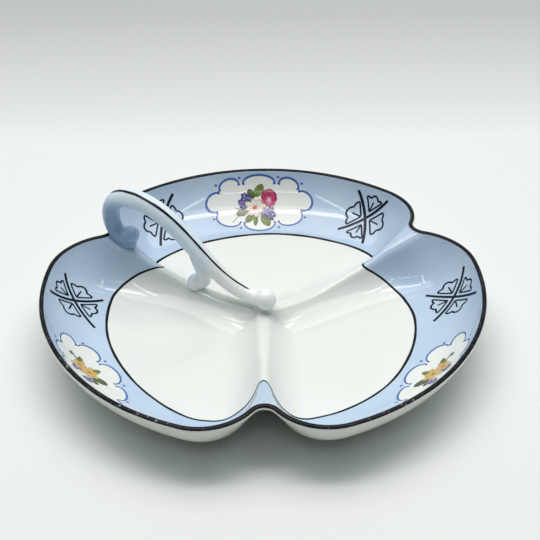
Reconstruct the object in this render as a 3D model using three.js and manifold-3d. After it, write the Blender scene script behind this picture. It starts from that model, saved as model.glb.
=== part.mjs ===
// Divided candy dish: a porcelain dish of three lobes, parted by low ridges, with a scrolled loop handle.
// Millimetres, +Z up. The table is z = 0 and the origin is under the middle of the rim's outer box.
// The dish and the handle are two castings, joined by three beads of slip, with raised enamel lines fired on.
import * as THREE from "three";
import { mergeVertices } from "three/addons/utils/BufferGeometryUtils.js";
import Module from "manifold-3d";

const wasm = await Module();
wasm.setup();
const { lerp, smoothstep, degToRad } = THREE.MathUtils;

// Rim outline, along the middle of the lip: three lobes on one circle, pinched in between.
const LOBES = 3;
const LOBE_RADIUS = 91.6;
const NOTCH_DEPTH = 14.8;
const NOTCH_RADIUS = 6.2;
const SHOULDER_RADIUS = 24;
const NOTCH_RISE = 1.5; // how much higher the rim stands in a notch than on a lobe
const BACK_LOBE_ANGLE = 90;

// Section of a lobe.
const RIM_HEIGHT = 26.5;
const LIP_RADIUS = 1.2;
const RIM_ANGLE = 69; // slope of the wall where it meets the lip
const FLOOR_RADIUS = 50;
const FLOOR_HEIGHT = 6;
const FLOOR_THICKNESS = 3.2;
const FOOT_RADIUS = 46.5;
const FOOT_WIDTH = 3;
const FOOT_FLARE = 0.6; // how much wider the foot is on each side where it joins the floor

// Ridges between the lobes, as heights above the floor along the crest.
const RIDGE_HALF_WIDTH = 18.5;
const RIDGE_START = 14; // lobe radius where the pinch of the ridge begins
const RIDGE_MIDDLE_HEIGHT = 7.6;
const RIDGE_SADDLE_HEIGHT = 6.9;
const RIDGE_SADDLE_REACH = 24;
const RIDGE_LINE_HEIGHT = 11.4;
const VALLEY_SHARE = 0.7; // how much of the ridge shows as a valley underneath

// Handle: a round strap that rises from a ball in the middle, arches over one ridge and curls onto the notch.
const HANDLE_ANGLE = 150;
const BALL_RADIUS = 4.6;
const BALL_SHIFT = 1.2; // middle of the ball, past the middle of the dish
const ARCH_RISE = 27; // top of the strap above the rim
const ARCH_SETBACK = 15.7; // top of the strap, in from the notch
const CURL_OVERHANG = 2.9; // outer face of the curl, past the middle of the lip
const CURL_DROP = 16.1; // outermost point of the curl, below the top of the strap
const CURL_KNOB_RADIUS = 4.6;
const CURL_KNOB_SETBACK = 10.6;
const CURL_KNOB_RISE = 3.4; // middle of the curl's knob above the rim
const STRAP_RADIUS = 4.2;
const STRAP_SWELL = 0.67; // where the strap is thickest, as a share of its length
const STRAP_BALL_SHARE = 0.76; // size of the strap at the ball, against its size at the swell
const STRAP_CURL_SHARE = 0.9; // size of the strap in the curl
const SPUR_REACH = 33.5; // middle of the spur's knob, out from the middle of the dish
const SPUR_KNOB_RADIUS = 3.4;
const SPUR_SEAT = 2.4; // middle of the spur's knob above the crest that it is luted to
const SPUR_ROOT_RADIUS = 3.4; // radius of the spur where it leaves the strap
const SPUR_NECK_RADIUS = 2.3; // radius of the spur at its knob
const SPUR_HEART_RADIUS = 3; // clay that fills the inside of the spur's scroll
const SPUR_ROOT = 0.35; // where the spur leaves the strap, as a share of the strap's length

// Slip beads and enamel lines.
const SLIP_SPREAD = 1; // how far a bead of slip stands out past the piece that it holds
const SLIP_HEIGHT = 2.2;
const SLIP_LAYER = 0.8; // thickness of the slip under the handle
const BALL_SLIP_REACH = 4; // middle of the bead under the ball, which runs out below the strap
const CURL_SLIP_SETBACK = 6; // middle of the bead under the curl, in from the notch
const CURL_SLIP_HALF_LENGTH = 6;
const CURL_SLIP_HALF_WIDTH = 4;
const LUTE_GAP = 0.3; // between the slip and the pieces that it joins
const LINE_RADIUS = 65.5; // inner line, on a lobe
const LINE_WIDTH = 1;
const LINE_THICKNESS = 0.25;
const LINE_GAP = 0.05;
const HANDLE_LINE_WIDTH = 1;
const HANDLE_LINE_FACETS = 1; // facets from the top of the strap to the line, on its front side

// Fineness of the facets.
const SEGMENTS_PER_LOBE = 24;
const NOTCH_CROWDING = 1.6; // above 1 draws the segments towards the notches
const LIP_STEPS = 6;
const STRAP_STEPS = 40;
const STRAP_SIDES = 16;
const SPUR_SIDES = 12;
const SPUR_STEPS = 10;
const BALL_SIDES = 18;

const PORCELAIN = { color: 0xf1f3ef, roughness: 0.12, metalness: 0 };
const PALE_BLUE = { color: 0xb4cbe4, roughness: 0.12, metalness: 0 };
const ENAMEL = { color: 0x1a1d22, roughness: 0.25, metalness: 0 };

// Outline of the rim.
const sector = (2 * Math.PI) / LOBES;
const notchRim = LOBE_RADIUS - NOTCH_DEPTH;
const shoulderReach = LOBE_RADIUS - SHOULDER_RADIUS;
const notchReach = notchRim + NOTCH_RADIUS;
const shoulderAngle = Math.acos(
  (shoulderReach ** 2 + notchReach ** 2 - (SHOULDER_RADIUS + NOTCH_RADIUS) ** 2) / (2 * shoulderReach * notchReach),
);

// Angle at which the arc of a notch, offset outwards, meets the arc of its shoulder.
function tangentAngle(offset) {
  const share = (NOTCH_RADIUS - offset) / (SHOULDER_RADIUS + NOTCH_RADIUS);
  const across = share * shoulderReach * Math.sin(shoulderAngle);
  return Math.atan2(across, lerp(notchReach, shoulderReach * Math.cos(shoulderAngle), share));
}

// Radius of the rim at an angle from the middle of the nearest notch, offset outwards.
// The lobe, the shoulder and the notch are three arcs that meet tangentially.
function outlineRadius(angle, offset) {
  if (angle >= shoulderAngle) return LOBE_RADIUS + offset;
  if (angle >= tangentAngle(offset)) {
    const turn = angle - shoulderAngle;
    const arc = SHOULDER_RADIUS + offset;
    return shoulderReach * Math.cos(turn) + Math.sqrt(arc ** 2 - (shoulderReach * Math.sin(turn)) ** 2);
  }
  const arc = NOTCH_RADIUS - offset;
  const across = notchReach * Math.sin(angle);
  return notchReach * Math.cos(angle) - Math.sqrt(Math.max(arc ** 2 - across ** 2, 0));
}

// Section of a lobe: a flat floor, then walls that curve up from it and end tangent to the round lip.
const rimAngle = degToRad(RIM_ANGLE);
const lipHeight = RIM_HEIGHT - LIP_RADIUS;
const undersideHeight = FLOOR_HEIGHT - FLOOR_THICKNESS;

function wallCurve(side, foot) {
  const top = new THREE.Vector2(
    LOBE_RADIUS + side * LIP_RADIUS * Math.sin(rimAngle),
    lipHeight - side * LIP_RADIUS * Math.cos(rimAngle),
  );
  const bend = new THREE.Vector2(top.x - (top.y - foot) / Math.tan(rimAngle), foot);
  return new THREE.QuadraticBezierCurve(new THREE.Vector2(FLOOR_RADIUS, foot), bend, top);
}
const innerWall = wallCurve(-1, FLOOR_HEIGHT);
const outerWall = wallCurve(1, undersideHeight);

// Where on the inner wall a lobe radius lies, from 0 at the floor to 1 at the lip.
function wallShare(radius) {
  let low = 0;
  let high = 1;
  while (high - low > 1e-7) {
    const middle = (low + high) / 2;
    if (innerWall.getPoint(middle).x < radius) low = middle;
    else high = middle;
  }
  return low;
}

// Crest of a ridge, from the middle of the dish to the notch.
const innerTop = innerWall.getPoint(1);
const lineCrest = LINE_RADIUS - NOTCH_DEPTH;
const notchTop = new THREE.Vector2(innerTop.x - NOTCH_DEPTH, innerTop.y + NOTCH_RISE);
const crest = new THREE.SplineCurve([
  new THREE.Vector2(0, FLOOR_HEIGHT + RIDGE_MIDDLE_HEIGHT),
  new THREE.Vector2(RIDGE_SADDLE_REACH, FLOOR_HEIGHT + RIDGE_SADDLE_HEIGHT),
  new THREE.Vector2(lineCrest, FLOOR_HEIGHT + RIDGE_LINE_HEIGHT),
  new THREE.Vector2((lineCrest + notchTop.x) / 2, (FLOOR_HEIGHT + RIDGE_LINE_HEIGHT + notchTop.y) / 2),
  notchTop,
]);
function crestHeight(radius) {
  let low = 0;
  let high = 1;
  while (high - low > 1e-7) {
    const middle = (low + high) / 2;
    if (crest.getPoint(middle).x < radius) low = middle;
    else high = middle;
  }
  return crest.getPoint(low).y;
}

// How the dish departs from a plain bowl, for a point whose inner wall is at lobe radius `at`.
const pinchDepth = (at) => NOTCH_DEPTH * smoothstep(at, RIDGE_START, LINE_RADIUS);
const towardsRim = (at) => smoothstep(at, LINE_RADIUS, innerTop.x);
const halfWidth = (at) => lerp(RIDGE_HALF_WIDTH, shoulderAngle * LOBE_RADIUS, towardsRim(at));
const bowlHeight = (at) => (at <= FLOOR_RADIUS ? FLOOR_HEIGHT : innerWall.getPoint(wallShare(at)).y);
const ridgeLift = (at) => crestHeight(at - pinchDepth(at)) - bowlHeight(at);
function pinch(angle, at, offset) {
  const outlineAngle = Math.min(((at * angle) / halfWidth(at)) * shoulderAngle, shoulderAngle);
  return (LOBE_RADIUS + offset - outlineRadius(outlineAngle, offset)) / NOTCH_DEPTH;
}

// A station of the section: its place on a lobe, the lobe radius of the inner wall that it belongs to,
// its offset from the middle of the wall, and its share of the ridge's lift.
const station = (r, z, at, offset, lift) => ({ r, z, at, offset, lift });
const valleyLift = (at) => lerp(VALLEY_SHARE, 1, towardsRim(at));

function wallStation(share, outside) {
  const inner = innerWall.getPoint(share);
  const outer = outerWall.getPoint(share);
  const half = (outer.x - inner.x) / 2;
  return outside
    ? station(outer.x, outer.y, inner.x, half, valleyLift(inner.x))
    : station(inner.x, inner.y, inner.x, -half, 1);
}

function lipStation(angle, radius) {
  const offset = radius * Math.cos(angle);
  return station(LOBE_RADIUS + offset, lipHeight + radius * Math.sin(angle), innerTop.x, offset, 1);
}
const lipAngle = (share) => rimAngle + Math.PI * (0.5 - share);

const spread = (from, to, steps) => Array.from({ length: steps + 1 }, (_, i) => lerp(from, to, i / steps));
const floorRadii = spread(0, 1, 8).map((share) => FLOOR_RADIUS * share ** 1.3);
const lineShares = [LINE_RADIUS - LINE_WIDTH / 2, LINE_RADIUS + LINE_WIDTH / 2].map(wallShare);

// Upper side of the dish, from the middle of the floor up the wall and over the lip.
function upperSection() {
  return [
    ...floorRadii.slice(0, -1).map((r) => station(r, FLOOR_HEIGHT, r, 0, 1)),
    ...spread(0, lineShares[0], 3).map((share) => wallStation(share, false)),
    ...spread(lineShares[1], 1, 6).map((share) => wallStation(share, false)),
    ...spread(0, 1, LIP_STEPS).slice(1, -1).map((share) => lipStation(lipAngle(share), LIP_RADIUS)),
  ];
}

// Whole section of the dish, on from the lip to the middle of the underside.
function dishSection() {
  const footOuter = FOOT_RADIUS + FOOT_WIDTH / 2;
  const footInner = FOOT_RADIUS - FOOT_WIDTH / 2;
  const under = (r, z, lift) => station(r, z, FOOT_RADIUS, 0, lift);
  const joined = valleyLift(FOOT_RADIUS);
  return [
    ...upperSection(),
    ...spread(1, 0, 8).map((share) => wallStation(share, true)),
    under(footOuter + FOOT_FLARE, undersideHeight, joined),
    under(footOuter, 0, 0),
    under(footInner, 0, 0),
    under(footInner - FOOT_FLARE, undersideHeight, joined),
    ...spread(0.8, 0, 4).map((share) => {
      const r = (footInner - FOOT_FLARE) * share;
      return station(r, undersideHeight, r, 0, VALLEY_SHARE);
    }),
  ];
}

// The dish filled from below, which cuts whatever is seated on it.
function filledSection() {
  const outside = lipStation(0, LIP_RADIUS);
  return [...upperSection(), { ...outside, z: 0, lift: 0 }, station(0, 0, 0, 0, 0)];
}

// Angles of the segments round the dish, crowded towards the notches.
const segments = LOBES * SEGMENTS_PER_LOBE;
const firstNotch = degToRad(BACK_LOBE_ANGLE) - sector / 2;
function segmentAngle(i) {
  const place = (i % SEGMENTS_PER_LOBE) / SEGMENTS_PER_LOBE;
  const fromNotch = place <= 0.5 ? place : 1 - place;
  const beta = (sector / 2) * (2 * fromNotch) ** NOTCH_CROWDING;
  const notch = firstNotch + sector * Math.floor(i / SEGMENTS_PER_LOBE);
  return { beta, theta: place <= 0.5 ? notch + beta : notch + sector - beta };
}

// Revolves a section, then pinches and lifts each point of it to the three-lobed form.
// The section is given clockwise, from the middle outwards over the top.
function lobedRevolve(clockwise) {
  const section = clockwise.toReversed();
  const profile = section.map(({ r, z }) => new THREE.Vector2(r, z));
  const geometry = new THREE.LatheGeometry(profile, segments);
  const position = geometry.getAttribute("position");
  for (let i = 0; i <= segments; i++) {
    const { beta, theta } = segmentAngle(i);
    section.forEach(({ r, z, at, offset, lift }, j) => {
      const drawn = pinch(beta, at, offset);
      const reach = r === 0 ? 0 : r - pinchDepth(at) * drawn;
      const height = z + lift * ridgeLift(at) * drawn;
      position.setXYZ(i * section.length + j, reach * Math.cos(theta), reach * Math.sin(theta), height);
    });
  }
  return geometry;
}

// Joining and cutting.
function toSolid(geometry) {
  const bare = geometry.clone();
  bare.deleteAttribute("normal");
  bare.deleteAttribute("uv");
  const merged = mergeVertices(bare, 1e-4);
  const triVerts = new Uint32Array(merged.index.array);
  const vertProperties = new Float32Array(merged.getAttribute("position").array);
  return new wasm.Manifold(new wasm.Mesh({ numProp: 3, vertProperties, triVerts }));
}
function toGeometry(solid) {
  const { vertProperties, triVerts } = solid.getMesh();
  const geometry = new THREE.BufferGeometry();
  geometry.setAttribute("position", new THREE.BufferAttribute(vertProperties, 3));
  geometry.setIndex(new THREE.BufferAttribute(triVerts, 1));
  geometry.computeVertexNormals();
  return geometry;
}
function part(name, geometry, look) {
  const mesh = new THREE.Mesh(geometry, new THREE.MeshStandardMaterial(look));
  mesh.name = name;
  return mesh;
}

// Dish, with the black line round its lip and the line round its floor.
const dishGeometry = lobedRevolve(dishSection());
const filledGeometry = lobedRevolve(filledSection());

function rimLineSection() {
  const angles = spread(0, 1, LIP_STEPS).slice(1, -2).map(lipAngle);
  const under = LIP_RADIUS + LINE_GAP;
  const over = under + LINE_THICKNESS;
  const ring = [
    ...angles.map((angle) => lipStation(angle, over)),
    ...angles.toReversed().map((angle) => lipStation(angle, under)),
  ];
  return [...ring, ring[0]];
}
function innerLineSection() {
  const [inner, outer] = lineShares.map((share) => wallStation(share, false));
  const raise = (from, by) => ({ ...from, z: from.z + by });
  const top = LINE_GAP + LINE_THICKNESS;
  const ring = [raise(inner, LINE_GAP), raise(inner, top), raise(outer, top), raise(outer, LINE_GAP)];
  return [...ring, ring[0]];
}

// Handle, drawn in its own plane: x runs out along the ridge, z is the height above the table.
const inPlane = (x, z) => new THREE.Vector3(x, 0, z);
const curlRadius = STRAP_RADIUS * STRAP_CURL_SHARE;
const archTop = inPlane(notchRim - ARCH_SETBACK, RIM_HEIGHT + ARCH_RISE - STRAP_RADIUS);
const curlOut = inPlane(notchRim + CURL_OVERHANG - curlRadius, RIM_HEIGHT + ARCH_RISE - CURL_DROP);
const curlKnob = inPlane(notchRim - CURL_KNOB_SETBACK, RIM_HEIGHT + CURL_KNOB_RISE);
const ball = inPlane(-BALL_SHIFT, crestHeight(0) + SLIP_LAYER + BALL_RADIUS);
const strapStart = inPlane(ball.x, ball.z - BALL_RADIUS * 0.2);
const strapCurve = new THREE.CurvePath();
strapCurve.add(
  new THREE.CubicBezierCurve3(
    strapStart,
    inPlane(archTop.x * 0.48, strapStart.z - STRAP_RADIUS * 0.15),
    inPlane(archTop.x * 0.58, archTop.z - STRAP_RADIUS * 0.5),
    archTop,
  ),
);
strapCurve.add(
  new THREE.CubicBezierCurve3(
    archTop,
    inPlane(lerp(archTop.x, curlOut.x, 0.62), archTop.z + STRAP_RADIUS * 0.1),
    inPlane(curlOut.x, lerp(curlOut.z, archTop.z, 0.6)),
    curlOut,
  ),
);
strapCurve.add(
  new THREE.CubicBezierCurve3(
    curlOut,
    inPlane(curlOut.x, lerp(curlOut.z, curlKnob.z, 0.9)),
    inPlane(lerp(curlKnob.x, curlOut.x, 0.5), curlKnob.z - CURL_KNOB_RADIUS * 1.3),
    curlKnob,
  ),
);
function strapRadius(t) {
  const rise = Math.sin((Math.min(t / STRAP_SWELL, 1) * Math.PI) / 2);
  const fall = smoothstep(t, STRAP_SWELL, (1 + STRAP_SWELL) / 2);
  return STRAP_RADIUS * lerp(STRAP_BALL_SHARE, 1, rise) * lerp(1, STRAP_CURL_SHARE, fall);
}

const spurKnob = inPlane(SPUR_REACH, crestHeight(SPUR_REACH) + SPUR_SEAT);
const spurRoot = strapCurve.getPoint(SPUR_ROOT);
const spurCurve = new THREE.CubicBezierCurve3(
  spurRoot,
  inPlane(lerp(spurKnob.x, spurRoot.x, 1.1), lerp(spurKnob.z, spurRoot.z, 0.6)),
  inPlane(spurKnob.x - SPUR_KNOB_RADIUS * 3, spurKnob.z - SPUR_KNOB_RADIUS * 0.2),
  spurKnob,
);
const spurHeart = spurCurve.getPoint(0.7).lerp(spurKnob, 0.5);

// Moves the points of an upright geometry of unit height onto a curve of the handle's plane.
// Its x runs across the plane, its y along the curve and its z out of the curve's upper side.
function alongCurve(geometry, curve, from, to, place) {
  const position = geometry.getAttribute("position");
  for (let i = 0; i < position.count; i++) {
    const t = lerp(from, to, position.getY(i) + 0.5);
    const middle = curve.getPoint(t);
    const tangent = curve.getTangent(t);
    const [across, out] = place(position.getX(i), position.getZ(i), t);
    position.setXYZ(i, middle.x - tangent.z * out, -across, middle.z + tangent.x * out);
  }
  return geometry;
}
function strapTube(grow) {
  const tube = new THREE.CylinderGeometry(1, 1, 1, STRAP_SIDES, STRAP_STEPS, false, Math.PI / STRAP_SIDES);
  return alongCurve(tube, strapCurve, 0, 1, (x, z, t) => {
    const reach = strapRadius(t) + grow;
    return [x * reach, z * reach];
  });
}
function spurTube(grow) {
  const tube = new THREE.CylinderGeometry(1, 1, 1, SPUR_SIDES, SPUR_STEPS);
  return alongCurve(tube, spurCurve, 0, 1, (x, z, t) => {
    const reach = lerp(SPUR_ROOT_RADIUS, SPUR_NECK_RADIUS, t) + grow;
    return [x * reach, z * reach];
  });
}
function knob(centre, radius) {
  return new THREE.SphereGeometry(radius, BALL_SIDES, BALL_SIDES / 2).rotateX(Math.PI / 2).translate(...centre);
}

// The handle before it is fitted, swollen by `grow` to cut the slip that goes round it.
function handleBlank(grow) {
  const pieces = [
    strapTube(grow),
    spurTube(grow),
    knob(ball, BALL_RADIUS + grow),
    knob(spurKnob, SPUR_KNOB_RADIUS + grow),
    knob(spurHeart, SPUR_HEART_RADIUS + grow),
    knob(curlKnob, CURL_KNOB_RADIUS + grow),
  ];
  return pieces.map(toSolid).reduce((whole, piece) => whole.add(piece));
}

// The dish as it lies under the handle. Raised copies of it cut the slip and the feet of the handle.
const handleTurn = degToRad(HANDLE_ANGLE);
const dishRaised = (by) => toSolid(filledGeometry.clone().rotateZ(-handleTurn).translate(0, 0, by));
const handleSolid = handleBlank(0).subtract(dishRaised(SLIP_LAYER + 2 * LUTE_GAP));
const slipBed = dishRaised(LUTE_GAP);
const slipHollow = handleBlank(LUTE_GAP).subtract(dishRaised(SLIP_LAYER + LUTE_GAP));

// Radius at which the ball is cut off where it sits on its slip.
const ballSeat = Math.sqrt(BALL_RADIUS ** 2 - (BALL_RADIUS - 2 * LUTE_GAP) ** 2);

// A bead of slip under a foot of the handle: a flat cushion, cut by the dish and by the handle.
function slipBead(x, halfLength, halfAcross) {
  const cushion = new THREE.SphereGeometry(1, BALL_SIDES, BALL_SIDES / 2)
    .rotateX(Math.PI / 2)
    .scale(halfLength + SLIP_SPREAD, halfAcross + SLIP_SPREAD, SLIP_HEIGHT)
    .translate(x, 0, crestHeight(x) + LUTE_GAP);
  return toGeometry(toSolid(cushion).subtract(slipBed).subtract(slipHollow));
}

// The enamel line along the strap lies on one of its facets, from ring to ring.
const handleLineRings = [3, 29];
const facetTurn = (2 * Math.PI) / STRAP_SIDES;
const lineTurn = -facetTurn * HANDLE_LINE_FACETS;
function handleLine() {
  const rings = handleLineRings[1] - handleLineRings[0];
  const strip = new THREE.BoxGeometry(HANDLE_LINE_WIDTH, 1, LINE_THICKNESS, 1, rings, 1);
  const [from, to] = handleLineRings.map((ring) => ring / STRAP_STEPS);
  return alongCurve(strip, strapCurve, from, to, (x, z, t) => {
    const out = strapRadius(t) * Math.cos(facetTurn / 2) + LINE_GAP + LINE_THICKNESS / 2 + z;
    return [
      x * Math.cos(lineTurn) + out * Math.sin(lineTurn),
      out * Math.cos(lineTurn) - x * Math.sin(lineTurn),
    ];
  });
}

const handleGroup = new THREE.Group();
handleGroup.rotation.z = handleTurn;
handleGroup.add(
  part("handle", toGeometry(handleSolid), PALE_BLUE),
  part("handle_line", handleLine(), ENAMEL),
  part("ball_slip_joint", slipBead(BALL_SLIP_REACH - BALL_SHIFT, BALL_SLIP_REACH + ballSeat, ballSeat), PORCELAIN),
  part("spur_slip_joint", slipBead(SPUR_REACH, SPUR_KNOB_RADIUS, SPUR_KNOB_RADIUS), PORCELAIN),
  part("rim_slip_joint", slipBead(notchRim - CURL_SLIP_SETBACK, CURL_SLIP_HALF_LENGTH, CURL_SLIP_HALF_WIDTH), PALE_BLUE),
);

// The rim's box reaches further behind the dish's own axis than in front of it.
const frontReach = Math.max(...spread(0, shoulderAngle, 200).map((a) => outlineRadius(a, LIP_RADIUS) * Math.cos(a)));
const dish = new THREE.Group();
dish.position.y = -(LOBE_RADIUS + LIP_RADIUS - frontReach) / 2;
dish.add(
  part("dish_body", dishGeometry, PORCELAIN),
  part("rim_line", lobedRevolve(rimLineSection()), ENAMEL),
  part("inner_line", lobedRevolve(innerLineSection()), ENAMEL),
  handleGroup,
);

const candyDish = new THREE.Group();
candyDish.add(dish);
export default candyDish;
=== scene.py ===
"""Looks of a divided candy dish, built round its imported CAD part.

Sizes in the classes are millimetres, and meshes are written in metres. The dish stands on z = 0 with its
back lobe towards +Y; angles go round the dish's own axis from +X, seen from above.
"""

import logging
import math
from dataclasses import dataclass, fields
from enum import Enum
from functools import lru_cache

import bpy
import numpy as np
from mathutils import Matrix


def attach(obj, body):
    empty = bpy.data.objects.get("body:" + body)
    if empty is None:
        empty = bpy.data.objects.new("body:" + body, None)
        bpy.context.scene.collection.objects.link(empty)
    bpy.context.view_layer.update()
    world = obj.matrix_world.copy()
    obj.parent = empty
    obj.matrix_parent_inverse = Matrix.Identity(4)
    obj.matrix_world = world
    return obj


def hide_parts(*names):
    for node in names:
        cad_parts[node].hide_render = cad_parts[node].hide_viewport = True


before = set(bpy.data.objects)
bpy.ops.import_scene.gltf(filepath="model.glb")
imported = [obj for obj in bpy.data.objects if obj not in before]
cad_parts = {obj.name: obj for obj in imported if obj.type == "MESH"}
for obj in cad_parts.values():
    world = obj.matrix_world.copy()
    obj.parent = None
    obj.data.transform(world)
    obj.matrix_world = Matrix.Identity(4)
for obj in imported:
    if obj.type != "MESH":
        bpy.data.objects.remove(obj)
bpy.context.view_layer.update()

LOG = logging.getLogger("dish")
MM = 0.001
FULL_TURN = 2.0 * math.pi
THIRD = FULL_TURN / 3.0
OUTSIDE_BAND = -100.0
OVAL_POINTS = 40
BLADE_POINTS = 48

Array = np.ndarray
Pair = tuple[float, float]
Triple = tuple[float, float, float]
Colour = Triple
Stop = tuple[float, Colour]
Piece = bpy.types.Object
Material = bpy.types.Material
Socket = bpy.types.NodeSocket


class Slot(Enum):
    """Names of the material slots."""

    PORCELAIN = "porcelain"
    BLUE = "blue_glaze"
    BLACK = "black_enamel"


# Small sums


def smoothstep(value: Array | float, low: float, high: float) -> Array:
    """Ease from 0 at low to 1 at high."""
    share = np.clip((np.asarray(value, float) - low) / (high - low), 0.0, 1.0)
    return share * share * (3.0 - 2.0 * share)


def cubic(points: list[Pair], share: Array) -> Array:
    """Points of a cubic Bezier curve.

    Args:
        points: Its four control points.
        share: Places along it, from 0 to 1.

    Returns:
        One point per place.
    """
    p = np.asarray(points, float)
    s = np.asarray(share, float)[:, None]
    r = 1.0 - s
    return r**3 * p[0] + 3 * r * r * s * p[1] + 3 * r * s * s * p[2] + s**3 * p[3]


def read_line(line: Array, places: Array, wanted: Array) -> Array:
    """Points at wanted places along a line, whose own points are at the given places."""
    return np.stack([np.interp(wanted, places, column) for column in line.T], axis=1)


def line_length(points: Array) -> tuple[float, Array]:
    """Length of a line, and the length up to each of its points."""
    steps = np.linalg.norm(np.diff(points, axis=0), axis=1)
    return float(steps.sum()), np.concatenate([[0.0], np.cumsum(steps)])


def resample(points: Array, count: int) -> Array:
    """Spread points evenly along a line, with its ends kept."""
    along = line_length(points)[1]
    return read_line(points, along, np.linspace(0.0, along[-1], count))


def unit(vectors: Array) -> Array:
    """Vectors of the same directions and of length 1."""
    return vectors / np.linalg.norm(vectors, axis=-1, keepdims=True)


def hump(theta: Array, turn: float, wide: float) -> Array:
    """A soft hump of height 1 round an angle given in degrees."""
    return np.exp(-(((np.degrees(theta) - turn) / wide) ** 2))


# Mesh work


def deselect() -> None:
    """Leave edit mode and select nothing."""
    if bpy.context.object and bpy.context.object.mode != "OBJECT":
        bpy.ops.object.mode_set(mode="OBJECT")
    bpy.ops.object.select_all(action="DESELECT")


def activate(piece: Piece) -> None:
    """Select one object alone and make it the active one.

    Args:
        piece: The object.
    """
    deselect()
    piece.select_set(True)
    bpy.context.view_layer.objects.active = piece


def edit_all(piece: Piece) -> None:
    """Enter edit mode with all of a piece selected.

    Args:
        piece: The object.
    """
    activate(piece)
    bpy.ops.object.mode_set(mode="EDIT")
    bpy.ops.mesh.select_all(action="SELECT")


def edit_edges(piece: Piece, wanted: Array) -> None:
    """Enter edit mode with only some edges of the active piece selected.

    Args:
        piece: The piece, in object mode.
        wanted: Whether each edge is to be selected.
    """
    bpy.ops.object.mode_set(mode="EDIT")
    bpy.ops.mesh.select_mode(type="EDGE")
    bpy.ops.mesh.select_all(action="DESELECT")
    bpy.ops.object.mode_set(mode="OBJECT")
    for edge, chosen in zip(piece.data.edges, wanted):
        edge.select = bool(chosen)
    bpy.ops.object.mode_set(mode="EDIT")


def read_all(items: bpy.types.bpy_prop_collection, name: str, wide: int, kind: type) -> Array:
    """Read one property of all vertices, edges or kept values.

    Args:
        items: What to read.
        name: Name of the property.
        wide: Numbers per item.
        kind: Type of the numbers.

    Returns:
        One row per item.
    """
    flat = np.zeros(len(items) * wide, kind)
    items.foreach_get(name, flat)
    return flat.reshape(-1, wide)


def edge_ends(mesh: bpy.types.Mesh) -> Array:
    """Numbers of the two vertices of each edge."""
    return read_all(mesh.edges, "vertices", 2, np.int32)


def read_points(mesh: bpy.types.Mesh) -> Array:
    """Vertices of a mesh, in metres."""
    return read_all(mesh.vertices, "co", 3, np.float32).astype(float)


def write_points(mesh: bpy.types.Mesh, points: Array) -> None:
    """Move the vertices of a mesh to points given in millimetres."""
    mesh.vertices.foreach_set("co", (points * MM).astype(np.float32).ravel())
    mesh.update()


def write_attribute(mesh: bpy.types.Mesh, name: str, values: Array) -> None:
    """Keep one number per vertex, for a material to read."""
    attribute = mesh.attributes.get(name) or mesh.attributes.new(name, "FLOAT", "POINT")
    attribute.data.foreach_set("value", np.asarray(values, np.float32))


def read_attribute(mesh: bpy.types.Mesh, name: str) -> Array:
    """Numbers kept per vertex under a name."""
    return read_all(mesh.attributes[name].data, "value", 1, np.float32)[:, 0].astype(float)


def write_paint(mesh: bpy.types.Mesh, colours: Array) -> None:
    """Keep one colour per vertex, for a material to read.

    Args:
        mesh: The mesh.
        colours: Linear colours.
    """
    attribute = mesh.attributes.get("paint") or mesh.attributes.new("paint", "FLOAT_COLOR", "POINT")
    full = np.concatenate([colours, np.ones((len(colours), 1))], axis=1)
    attribute.data.foreach_set("color", full.astype(np.float32).ravel())


def apply_modifier(piece: Piece, kind: str, **settings: object) -> None:
    """Add a modifier to a piece and apply it.

    Args:
        piece: The object that takes it.
        kind: Blender's name of the modifier type.
        **settings: Its settings.
    """
    activate(piece)
    modifier = piece.modifiers.new(kind.title(), kind)
    for name, value in settings.items():
        setattr(modifier, name, value)
    bpy.ops.object.modifier_apply(modifier=modifier.name)


def join(pieces: list[Piece], name: str) -> Piece:
    """Join objects into the first of them.

    Args:
        pieces: Objects to join.
        name: Name of the result.

    Returns:
        The joined object.
    """
    deselect()
    for piece in pieces:
        piece.select_set(True)
    bpy.context.view_layer.objects.active = pieces[0]
    if len(pieces) > 1:
        bpy.ops.object.join()
    pieces[0].name = name
    pieces[0].data.name = name
    return pieces[0]


def place(piece: Piece, material: Material, nodes: tuple[str, ...] = ()) -> Piece:
    """Dress a finished piece and fix it to the CAD body.

    Args:
        piece: The object.
        material: Its finish.
        nodes: CAD nodes that the piece stands for.

    Returns:
        The same object.
    """
    activate(piece)
    bpy.ops.object.shade_smooth()
    piece.data.materials.clear()
    piece.data.materials.append(material)
    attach(piece, "root")
    if nodes:
        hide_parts(*nodes)
    LOG.info("%s: %d faces", piece.name, len(piece.data.polygons))
    return piece


# Form of the dish


@dataclass(frozen=True)
class Section:
    """Stations of a section that is revolved and then pinched.

    Attributes:
        r: Radius of each station on a lobe.
        z: Height of each station on a lobe.
        at: Lobe radius of the inner wall that each station belongs to.
        offset: Distance of each station outwards from the middle of the wall.
        lift: Share of the ridge's lift that each station takes.
        band: Lobe radius of each station on the upper side, or OUTSIDE_BAND elsewhere.
    """

    r: Array
    z: Array
    at: Array
    offset: Array
    lift: Array
    band: Array

    @staticmethod
    def chain(parts: list["Section"]) -> "Section":
        """Join sections end to end."""
        names = [field.name for field in fields(Section)]
        return Section(*(np.concatenate([getattr(part, name) for part in parts]) for name in names))

    def picked(self, stations: Array) -> "Section":
        """Stations by their numbers."""
        return Section(*(getattr(self, field.name)[stations] for field in fields(Section)))


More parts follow.
